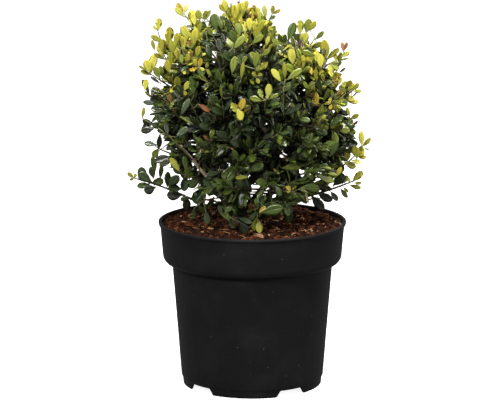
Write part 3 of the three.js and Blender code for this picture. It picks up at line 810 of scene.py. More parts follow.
# long ridges and small knots in the bark: noise stretched along the limb, as a share of the radius
def barkRelief(run, turn, radius, seed):
    x, y, z = np.cos(turn) * radius, np.sin(turn) * radius, run + 0 * turn
    ridges = 1 - 2 * np.abs(waves(np.stack([x, y, z / bark["stretch"]], -1), bark["ridgeLength"], seed))
    knots = waves(np.stack([x, y, z], -1), bark["knotLength"], seed + 1)
    return bark["ridge"] * ridges + bark["knot"] * knots


# bark in two browns, its grain drawn out along the limb, with pale pores
def barkMaterial(name, dark, light):
    material, shade, where = patterned(name)
    grain = stretchedNoise(shade, where, (1, 1, 0.22), 900, 4, 0.7)
    patch = noiseAt(shade, where, 130, 3, 0.6)
    pores = noiseAt(shade, where, 2100, 2, 0.5).rising(0.6, 0.72)
    tone = (grain * 0.55 + patch * 0.45).rising(0.36, 0.64)
    colour = (pores * 0.5).blend(tone.blend(dark, light), bark["pores"])
    rough = 0.8 + grain * 0.15
    surface(shade, {"Base Color": colour, "Roughness": rough}, grain + pores * 0.4, bark["bumpHeight"])
    return material


# the trunk flares out in lobes at its foot, and each bough but the leader swells where it leaves the trunk
def buildLimbs():
    share = np.linspace(0, 1, bark["trunkSteps"])
    path = evenly(trunkCurve, share)
    path[0] -= up * bark["sunk"]
    turn = np.arange(bark["trunkSides"]) * 2 * np.pi / bark["trunkSides"]
    flare = growth["rootFlare"] * np.exp(-share / growth["flareShare"])[:, None]
    radius = mix(*growth["trunkRadii"], share)[:, None]
    run = share[:, None] * np.linalg.norm(trunkFork - trunkFoot)
    lobes = 1 + growth["lobeDepth"] * np.cos(growth["rootLobes"] * turn)
    rings = radius * (1 + barkRelief(run, turn, radius, 3)) + flare * lobes
    trunk = tubes(path[None], rings[None], bark["trunkSides"])
    trunkBark = barkMaterial("trunkBark", bark["trunkDark"], bark["trunkLight"])
    addPiece("trunkBark", trunk, [trunkBark], ["trunk"])
    share = np.linspace(0, 1, bark["boughSteps"])
    turn = np.arange(bark["boughSides"]) * 2 * np.pi / bark["boughSides"]
    shapes = []
    for number, bough in enumerate(boughs):
        path = bezier(bough["curve"], share)
        radius = mix(bough["radius"], growth["tipRadius"], share)[:, None]
        collar = 1 + bark["collar"] * np.exp(-share / bark["collarShare"])[:, None] * (number > 0)
        run = share[:, None] * np.linalg.norm(path[-1] - path[0])
        rings = radius * (collar + barkRelief(run, turn, radius, 20 + number))
        shapes.append(tubes(path[None], rings[None], bark["boughSides"]))
    boughBark = barkMaterial("boughBark", bark["boughDark"], bark["boughLight"])
    addPiece("boughBark", joined(shapes), [boughBark], boughNames)


buildLimbs()


# Shoots and twigs

twigs = {
    "shootPastTarget": (0, 8), "shootSteps": 10, "shootSides": 6, "shootRadii": (1.25, 0.5), "lean": 0.1,
    "sideRadii": (0.62, 0.36), "sideSteps": 6, "sideSides": 4, "shortest": 8,
    "stemRadii": (2.2, 1.35), "stemSides": 9, "stemSteps": 8,
    "stemSunk": 2, "sag": 0.06, "angleSpread": 8, "liftFrom": (190, 260), "lengthAlong": (1.1, 0.75),
    "floorInPot": 163, "floorPastRim": 168, "rimReach": 72, "trims": 4, "trimTo": 0.88, "skyGap": 0.5,
    "brown": ((0.03, 0.02, 0.012), (0.12, 0.085, 0.045)),
    "green": ((0.055, 0.06, 0.017), (0.145, 0.14, 0.038)),
}
# side twigs: spacing along the limb, least and most, part of the limb, angles off it, lengths, deepest tips,
# and how far they turn outward and up
sprayTwigs = {"spacing": 11, "count": (3, 5), "part": (0.35, 0.97), "angle": (58, 28), "length": (18, 38),
              "deepest": (0.64, 1.0), "outward": 0.35, "lift": 0.5, "seed": 11}
innerTwigs = {"spacing": 6, "count": (5, 10), "part": (0.02, 0.8), "angle": (80, 50), "length": (14, 26),
              "deepest": (0.5, 0.8), "outward": 0.1, "lift": 0.1, "seed": 12}
lowTwigs = {"spacing": 14, "count": (3, 5), "part": (0.3, 0.9), "angle": (58, 40), "length": (9, 18),
            "deepest": (1.2, 1.3), "outward": 0.2, "lift": 0.2, "seed": 14, "free": True}
boughTwigs = {"spacing": 4, "count": (8, 16), "part": (0.45, 1.0), "angle": (80, 60), "length": (14, 24),
              "deepest": (0.6, 0.8), "outward": 0.3, "lift": 0.1, "seed": 13}
# sprays that fill the outline: their tips in the photograph, and how far behind the pot's axis
standingTips = np.array([
    (170, 43, -10), (160, 50, -8), (185, 32, -8), (195, 17, -10), (205, 16, -8), (215, 20, -6), (226, 10, -6),
    (236, 9, -4), (245, 7, -4), (256, 13, -8), (264, 20, -4), (270, 32, -6), (283, 40, -6), (292, 30, -4),
    (300, 30, -6), (308, 30, 4), (312, 48, -8), (325, 50, -8), (336, 60, -14), (356, 88, -6), (352, 124, -8),
    (353, 143, -10), (190, 55, -62), (282, 62, -84), (318, 64, -58), (252, 103, -104), (194, 142, -84),
    (310, 150, -80), (275, 108, 98), (286, 94, 90), (262, 90, 100), (273, 78, 92), (292, 74, 80),
    (256, 114, 102),
], float)
standing = fromPhoto(standingTips[:, :2], standingTips[:, 2])
# shares of a spray: where it leaves its shoot, its bow and sag, and where it ends short of its tip
standingSpray = {"leaves": 0.5, "bow": 0.55, "sag": 0.07, "ends": 0.86}
# low branches over the compost: root, bend and tip
lowBranches = np.array([
    ((-36, -4, 186), (-58, -2, 190), (-66, -6, 190)), ((44, -6, 186), (60, -6, 190), (68, -8, 190)),
    ((-10, -10, 190), (-20, -45, 196), (-26, -60, 190)), ((-6, -10, 186), (4, -48, 194), (10, -64, 186)),
    ((0, -8, 190), (18, -46, 198), (27, -60, 193)), ((4, -8, 188), (30, -40, 196), (44, -52, 192)),
    ((-12, -8, 190), (-40, -36, 198), (-50, -44, 194)),
], float).transpose(1, 0, 2)
denseCrown = {"drop": 115, "power": 1.7, "ragged": 0.35}
# the limb that shows at the front left: where it leaves the trunk, its bend and tip in the photograph, and
# how far behind the pot's axis those lie
limb = {"leaves": 0.28, "places": ((205, 177), (180, 144)), "depths": (-42, -44), "radii": (2.5, 1.3),
        "steps": 40, "sides": 12}
limbPlaces = fromPhoto(limb["places"], np.array(limb["depths"], float))
limbCurve = np.stack([evenly(trunkCurve, limb["leaves"]), *limbPlaces])


# the lowest that leaves and twigs hang: over the compost, and past the pot's rim
def lowestAt(points):
    inPot = np.hypot(points[..., 0], points[..., 1]) < twigs["rimReach"]
    return np.where(inPot, twigs["floorInPot"], twigs["floorPastRim"])


# how far out of the dense part of the crown a point lies, 1 on its rim: below the middle it narrows like
# a ball, and only the low branches reach past it
def denseAt(points):
    below = np.clip((crownMiddle[2] - points[..., 2]) / denseCrown["drop"], 0, 0.999)
    rim = growth["halfWidth"] * (1 - below ** denseCrown["power"]) ** (1 / denseCrown["power"])
    return np.hypot(points[..., 0], points[..., 1]) / rim


# stems go on from the boughs' tips to the middles of their masses
def growStems():
    tips = np.array([b["curve"][2] for b in boughs])
    return np.stack([tips - unit(middles - tips) * twigs["stemSunk"], mix(tips, middles, 0.5), middles])


# each target's shoot leaves the stem of the nearest mass and bends a little along that stem
def growShoots(stems):
    tips, _, ends = stems
    targets = shootTargets()
    nearest = np.linalg.norm(targets[:, None] - middles[None], axis=-1).argmin(1)
    starts = np.zeros_like(targets)
    for number in range(len(boughs)):
        mine = np.flatnonzero(nearest == number)
        share = mix(*growth["shootyPart"], (np.arange(len(mine)) + 0.5) / max(len(mine), 1))
        starts[mine] = mix(tips[number], ends[number], share[:, None])
    run = targets - starts
    stemWay = unit(ends - tips)[nearest]
    length = np.linalg.norm(run, axis=1, keepdims=True)
    past = mix(*twigs["shootPastTarget"], chance(np.arange(len(targets)), 4))
    past[:len(growth["leaders"])] = twigs["shootPastTarget"][1]
    finish = targets + unit(run) * past[:, None]
    bow = starts + run * 0.5 + (stemWay * twigs["lean"] - up * twigs["sag"]) * length
    return np.stack([starts, bow, finish])


# a standing spray leaves the nearest shoot half way and bends out and up to its tip
def growStanding(shoots):
    nearest = np.linalg.norm(standing[:, None] - shoots[2][None], axis=-1).argmin(1)
    base = bezier(shoots[:, nearest], np.full(len(standing), standingSpray["leaves"]))
    sag = standingSpray["sag"] * np.linalg.norm(standing - base, axis=1, keepdims=True)
    bow = mix(base, standing, standingSpray["bow"]) - up * sag
    return np.stack([base, bow, mix(base, standing, standingSpray["ends"])])


# side twigs leave a limb in turn round it, turned outward and to the light, and are cut at the outline
def growSideTwigs(limbs, kind):
    rng = np.random.default_rng(kind["seed"])
    length = np.linalg.norm(limbs[2] - limbs[0], axis=1)
    counts = np.clip(np.round(length / kind["spacing"]), *kind["count"]).astype(int)
    owner = np.repeat(np.arange(len(length)), counts)
    rank = np.concatenate([np.arange(n) for n in counts])
    share = np.clip(mix(*kind["part"], (rank + rng.uniform(0.1, 0.9, len(rank))) / counts[owner]), 0, 0.97)
    base = bezier(limbs[:, owner], share)
    ahead = unit(bezier(limbs[:, owner], share + 0.02) - bezier(limbs[:, owner], share - 0.02))
    side = unit(np.cross(ahead, unit(rng.normal(size=ahead.shape))))
    turn = (rank * goldenAngle + owner)[:, None]
    away = side * np.cos(turn) + np.cross(ahead, side) * np.sin(turn)
    angle = mix(*kind["angle"], share) + rng.normal(0, twigs["angleSpread"], len(share))
    angle = np.radians(angle)[:, None]
    way = ahead * np.cos(angle) + away * np.sin(angle)
    lift = kind["lift"] * ease(*twigs["liftFrom"], base[:, 2:])
    finalWay = unit(way + unit(base - crownMiddle) * kind["outward"] + up * lift)
    size = mix(*kind["length"], rng.uniform(0, 1, len(share))) * mix(*twigs["lengthAlong"], share)
    deepest = mix(*kind["deepest"], rng.uniform(0, 1, len(share)))
    tip = base + finalWay * size[:, None]
    room = np.clip((deepest - depthOf(base)) / np.maximum(depthOf(tip) - depthOf(base), 1e-3), 0, 1)
    size = np.where(depthOf(tip) > deepest, np.maximum(size * room, twigs["shortest"]), size)
    tip = base + finalWay * size[:, None]
    bow = base + way * size[:, None] * 0.5
    ragged = 1 + denseCrown["ragged"] * rng.uniform(0, 1, len(share))
    keep = (tip[:, 2] > lowestAt(tip) + 3) & ((denseAt(tip) < ragged) | kind.get("free", False))
    return np.stack([base, bow, tip])[:, keep]


# thin bark: noise between two colours
def twigBark(name, colours):
    material, shade, where = patterned(name)
    grain = noiseAt(shade, where, 700, 3, 0.6)
    colour = grain.rising(0.35, 0.65).blend(*colours)
    surface(shade, {"Base Color": colour, "Roughness": 0.6 + grain * 0.2}, grain, 0.0002)
    return material


# tubes along twigs given as stacks of three curve points, tapering from one radius to the other
def twigTubes(curves, radii, steps, sides):
    t = np.linspace(0, 1, steps)
    paths = bezier(curves[:, :, None], t)
    return tubes(paths, mix(*radii, t)[None] + np.zeros((len(paths), 1)), sides)


# tubes of the thin side twigs
def sideTubes(curves, radii):
    return twigTubes(curves, radii, twigs["sideSteps"], twigs["sideSides"])


# Openings

# where the photograph shows sky through the crown, in its pixels: across, down and radius
openings = np.array([
    (194, 112, 1), (192, 143, 2.5), (192, 154, 0.6), (193, 165, 1.2), (198, 170, 1.2), (230, 163, 1),
    (252, 177, 1.8), (260, 187, 1.2), (257, 190, 2.4), (254, 194, 2.4), (284, 155, 2.4), (299, 171, 1.0),
    (301, 176, 0.9), (211, 187, 0.5), (205, 199, 2.6), (217, 199, 2.2), (190, 192, 1.5), (199, 184, 1.6),
    (186, 179, 0.8), (285, 92, 0.8), (297, 94, 1.2), (303, 89, 2.2), (266, 191, 1.6), (274, 194, 2),
    (334, 112, 1.2), (323, 121, 0.8), (346, 126, 1), (346, 136, 0.8), (323, 140, 1.4), (328, 163, 0.4),
    (316, 181, 0.5),
    (215, 54, 2), (178, 62, 1), (161, 62, 3), (163, 56, 1), (169, 84, 1), (250, 25, 1.4), (260, 45, 1.2),
    (280, 46, 0.8),
    (296, 44, 1), (263, 57, 0.6), (278, 59, 0.8), (310, 81, 0.8), (340, 89, 1), (337, 74, 0.8),
    (326, 66, 1.6),
    (176, 175, 1.6), (199, 21, 1), (208, 24, 1), (302, 203, 1), (155, 82, 2), (168, 41, 1.6),
], float)
# the outline of the dense crown in the photograph, in its pixels, from the low left round over the top
outline = np.array([
    (212, 204), (206, 197), (197, 188), (190, 182), (184, 178), (180, 172), (174, 168), (171, 160),
    (170, 152), (166, 147), (166, 138), (162, 132), (158, 128), (158, 120), (157, 112), (153, 106),
    (152, 98), (155, 88), (162, 84), (164, 81), (154, 77), (153, 71), (158, 68), (164, 70), (165, 60),
    (159, 53), (158, 46), (161, 41), (166, 46), (172, 42), (176, 45), (180, 40), (181, 30), (187, 29),
    (191, 36), (192, 26), (190, 14), (198, 12), (207, 13), (208, 25), (211, 18), (217, 16), (219, 22),
    (222, 17), (221, 8), (224, 4), (228, 9), (232, 10), (236, 6), (241, 4), (247, 3), (249, 9), (256, 9),
    (260, 15), (265, 16), (268, 22), (272, 28), (275, 31), (277, 37), (285, 36), (288, 43), (291, 41),
    (293, 31), (296, 37), (299, 32), (303, 37), (307, 33), (308, 43), (313, 45), (316, 53), (320, 54),
    (322, 46), (327, 46), (329, 53), (326, 61), (331, 64), (335, 58), (341, 55), (342, 60), (338, 67),
    (337, 76), (345, 82), (353, 84), (358, 87), (359, 92), (352, 95), (346, 103), (343, 106), (346, 114),
    (350, 121), (354, 126), (352, 133), (356, 143), (352, 149), (347, 158), (342, 165), (341, 170),
    (337, 176), (330, 182), (320, 186), (316, 192), (309, 199), (305, 204), (296, 208), (285, 213),
    (262, 214), (240, 216), (222, 212),
], float)
# the part of the front limb that shows, how many spots of it are kept clear, and half their breadth
limbWindow = {"part": (0.6, 0.98), "spots": 30, "half": 1.7}


# true where lines from feet to tips, seen in the picture, pass an opening by more than its radius and some
# extra, and do not hide the limb that shows
def clearOfSky(feet, tips, extra):
    path = bezier(limbCurve, np.linspace(*limbWindow["part"], limbWindow["spots"]))
    spots = np.concatenate([openings[:, :2], seen(path)])
    radii = np.concatenate([openings[:, 2], np.full(len(path), limbWindow["half"])])
    behind = np.concatenate([np.full(len(openings), np.inf), path[:, 1]])
    start = seen(feet)[:, None]
    run = seen(tips)[:, None] - start
    share = np.clip(dot(spots - start, run) / np.maximum(dot(run, run), 1e-6), 0, 1)
    off = np.linalg.norm(spots - start - run * share, axis=-1)
    inFront = mix(feet, tips, 0.5)[:, 1:2] < behind
    return ~((off < radii + extra) & inFront).any(1)


# true for points seen inside the outline: an odd number of its edges lie to their right
def inOutline(points):
    x, y = np.moveaxis(seen(points)[:, None], -1, 0)
    (ax, ay), (bx, by) = outline.T, np.roll(outline, -1, 0).T
    crossed = (ay > y) != (by > y)
    edge = ax + (y - ay) * (bx - ax) / np.where(ay == by, 1, by - ay)
    return (crossed & (x < edge)).sum(1) % 2 == 1


# Leaves

leaf = {
    "length": 17.0, "width": 8.5, "stalk": 0.4, "thickness": 0.3, "fold": 0.1, "broadest": 1.4,
    "ends": (0.86, 0.5),
    "fine": ((0, 0.13, 0.34, 0.6, 0.83, 0.96, 1), (-1, -0.5, 0, 0.5, 1)),  # stations and columns
    "plain": ((0, 0.14, 0.42, 0.72, 0.94, 1), (-1, 0, 1)),
    # cup, bend and slimness of each of the shapes
    "shapes": [(0.1, 0.03, 1.0), (-0.06, 0.06, 0.95), (0.05, 0.1, 1.06), (0.18, -0.03, 0.92)],
    # on the twig: gaps in mm, angles in degrees, turn in radians; ranks count from the tip
    "spacing": 4.5, "spacingSpread": 0.3, "tipOff": 0.6, "least": 3, "most": 9, "leafyPart": 0.95,
    "lean": (18, 56), "leanSpread": 9, "oldRank": 4, "turnStep": 1.7, "turnSpread": 0.35,
    "sizes": (0.5, 1.0), "sizeSpread": (0.82, 1.15), "grownRank": 3,
    "lightPull": 0.2, "outPull": 0.2, "roll": 48, "reach": 1.15, "hangs": 3, "inPiece": 2000,
    "halfWidth": 1.5, "showing": 0.7, "testedAt": (0.4, 0.75),
    "shine": 0.4, "roughness": (0.3, 0.5), "coat": (0.36, 0.0), "coatRoughness": 0.18, "bumpHeight": 0.0003,
    "underPale": 0.06, "underTint": (0.17, 0.19, 0.07), "veinTint": (0.3, 0.33, 0.09),
    "tipWarmth": (1.15, 1.06, 0.95), "veins": 7, "veinSlant": 2.2,
}
buds = {"share": 0.08, "size": (0.26, 0.44), "lean": 14, "leanSpread": 6, "each": 2}


# A leaf along +X with its upper face to +Z. Half its width is a power of a sine of a power of the way
# along, broadest past the middle, narrow at the foot and blunt at the tip. Its sides rise with the square
# of the way across, and it bends down with the square of the way along. The underside shares the edges and
# hangs a little lower.
def leafShape(stations, columns, cup, bend, slim):
    along, across = np.meshgrid(stations, columns, indexing="ij")
    half = np.sin(np.pi * along ** leaf["broadest"]).clip(0) ** mix(*leaf["ends"], along)
    half = np.maximum(half * leaf["width"] / 2 * slim, leaf["stalk"])
    rise = cup * half * across ** 2 + leaf["fold"] * half * np.abs(across)
    rise = rise - bend * leaf["length"] * along ** 2
    top = np.stack([leaf["length"] * along, half * across, rise], -1)
    keel = len(columns) // 2
    under = top[:, keel:keel + 1] - [0, 0, leaf["thickness"]]
    points = np.concatenate([top, under], 1)
    rows, wide = len(stations), len(columns) + 1
    row, cells = np.arange(rows - 1)[:, None] * wide, np.arange(wide - 2)[None]
    last, after = row + wide - 1, row + 2 * wide - 1
    quads = ([row + cells, row + wide + cells, row + wide + cells + 1, row + cells + 1],
             [row, last, after, row + wide], [last, last - 1, after - 1, after])
    upper, left, right = (np.stack(corners, -1).reshape(-1, 4) for corners in quads)
    ends = np.stack([np.arange(wide), (rows - 1) * wide + np.arange(wide)[::-1]])
    paint = [np.full(len(faces), number) for faces, number in ((upper, 0), (left, 1), (right, 1), (ends, 1))]
    place = np.stack([along, across / 2 + 0.5], -1)
    place = np.concatenate([place, np.stack([along[:, :1], 0 * along[:, :1] + 0.5], -1)], 1)
    return shapeOf(points, [upper, left, right, ends], paint, place)


# frames of leaves on twigs: each leans off the twig by some degrees towards a turn round it, with its
# upper face turned along the twig, a little out of the crown and to the light, and rolled at random
def leafFrames(base, ahead, turn, lean, size, rng):
    side = unit(np.cross(ahead, np.where(np.abs(ahead[:, 2:]) > 0.9, [[1.0, 0, 0]], [[0, 0, 1.0]])))
    away = side * np.cos(turn)[:, None] + np.cross(ahead, side) * np.sin(turn)[:, None]
    lean = np.radians(lean)[:, None]
    axis = ahead * np.cos(lean) + away * np.sin(lean)
    face = ahead * np.sin(lean) - away * np.cos(lean)
    roll = np.radians(rng.normal(0, leaf["roll"], len(base)))[:, None]
    face = face * np.cos(roll) + np.cross(axis, face) * np.sin(roll)
    face = face + up * leaf["lightPull"] + unit(base - crownMiddle) * leaf["outPull"]
    face = unit(face - axis * dot(face, axis))
    return np.stack([axis, np.cross(face, axis), face], 1) * size[:, None, None]


# leaves along each twig from its tip inwards, in turn round it, leaning further the older they are
def growLeaves(twigCurves):
    rng = np.random.default_rng(seeds["leaves"])
    length = np.linalg.norm(twigCurves[2] - twigCurves[0], axis=1)
    counts = (length * leaf["leafyPart"] / leaf["spacing"]).astype(int) + 1
    counts = np.clip(counts, leaf["least"], leaf["most"])
    owner = np.repeat(np.arange(len(length)), counts)
    rank = np.concatenate([np.arange(n) for n in counts])
    uneven = rng.uniform(-leaf["spacingSpread"], leaf["spacingSpread"], len(rank)) * (rank > 0)
    fromTip = leaf["tipOff"] + leaf["spacing"] * (rank + uneven)
    share = np.clip(1 - fromTip / length[owner], 0.04, 1)
    base = bezier(twigCurves[:, owner], share)
    ahead = unit(base - bezier(twigCurves[:, owner], share - 0.05))
    turn = rank * goldenAngle + owner * leaf["turnStep"] + rng.normal(0, leaf["turnSpread"], len(rank))
    lean = mix(*leaf["lean"], np.clip(rank / leaf["oldRank"], 0, 1))
    lean = lean + rng.normal(0, leaf["leanSpread"], len(rank))
    size = mix(*leaf["sizes"], np.clip((rank + 0.4) / leaf["grownRank"], 0, 1))
    size = size * rng.uniform(*leaf["sizeSpread"], len(rank))
    frames = leafFrames(base, ahead, turn, lean, size, rng)
    return {"base": base, "frames": frames, "rank": rank, "owner": owner}


# pairs of small bronze leaves at the ends of some twigs
def growBuds(twigCurves, budding):
    rng = np.random.default_rng(seeds["buds"])
    owner = np.repeat(np.flatnonzero(budding), buds["each"])
    base = bezier(twigCurves[:, owner], np.full(len(owner), 0.99))
    ahead = unit(base - bezier(twigCurves[:, owner], np.full(len(owner), 0.9)))
    turn = np.tile(np.arange(buds["each"]) * np.pi, budding.sum()) + owner
    size = mix(*buds["size"], rng.uniform(0, 1, len(owner)))
    lean = buds["lean"] + rng.normal(0, buds["leanSpread"], len(owner))
    return base, leafFrames(base, ahead, turn, lean, size, rng)
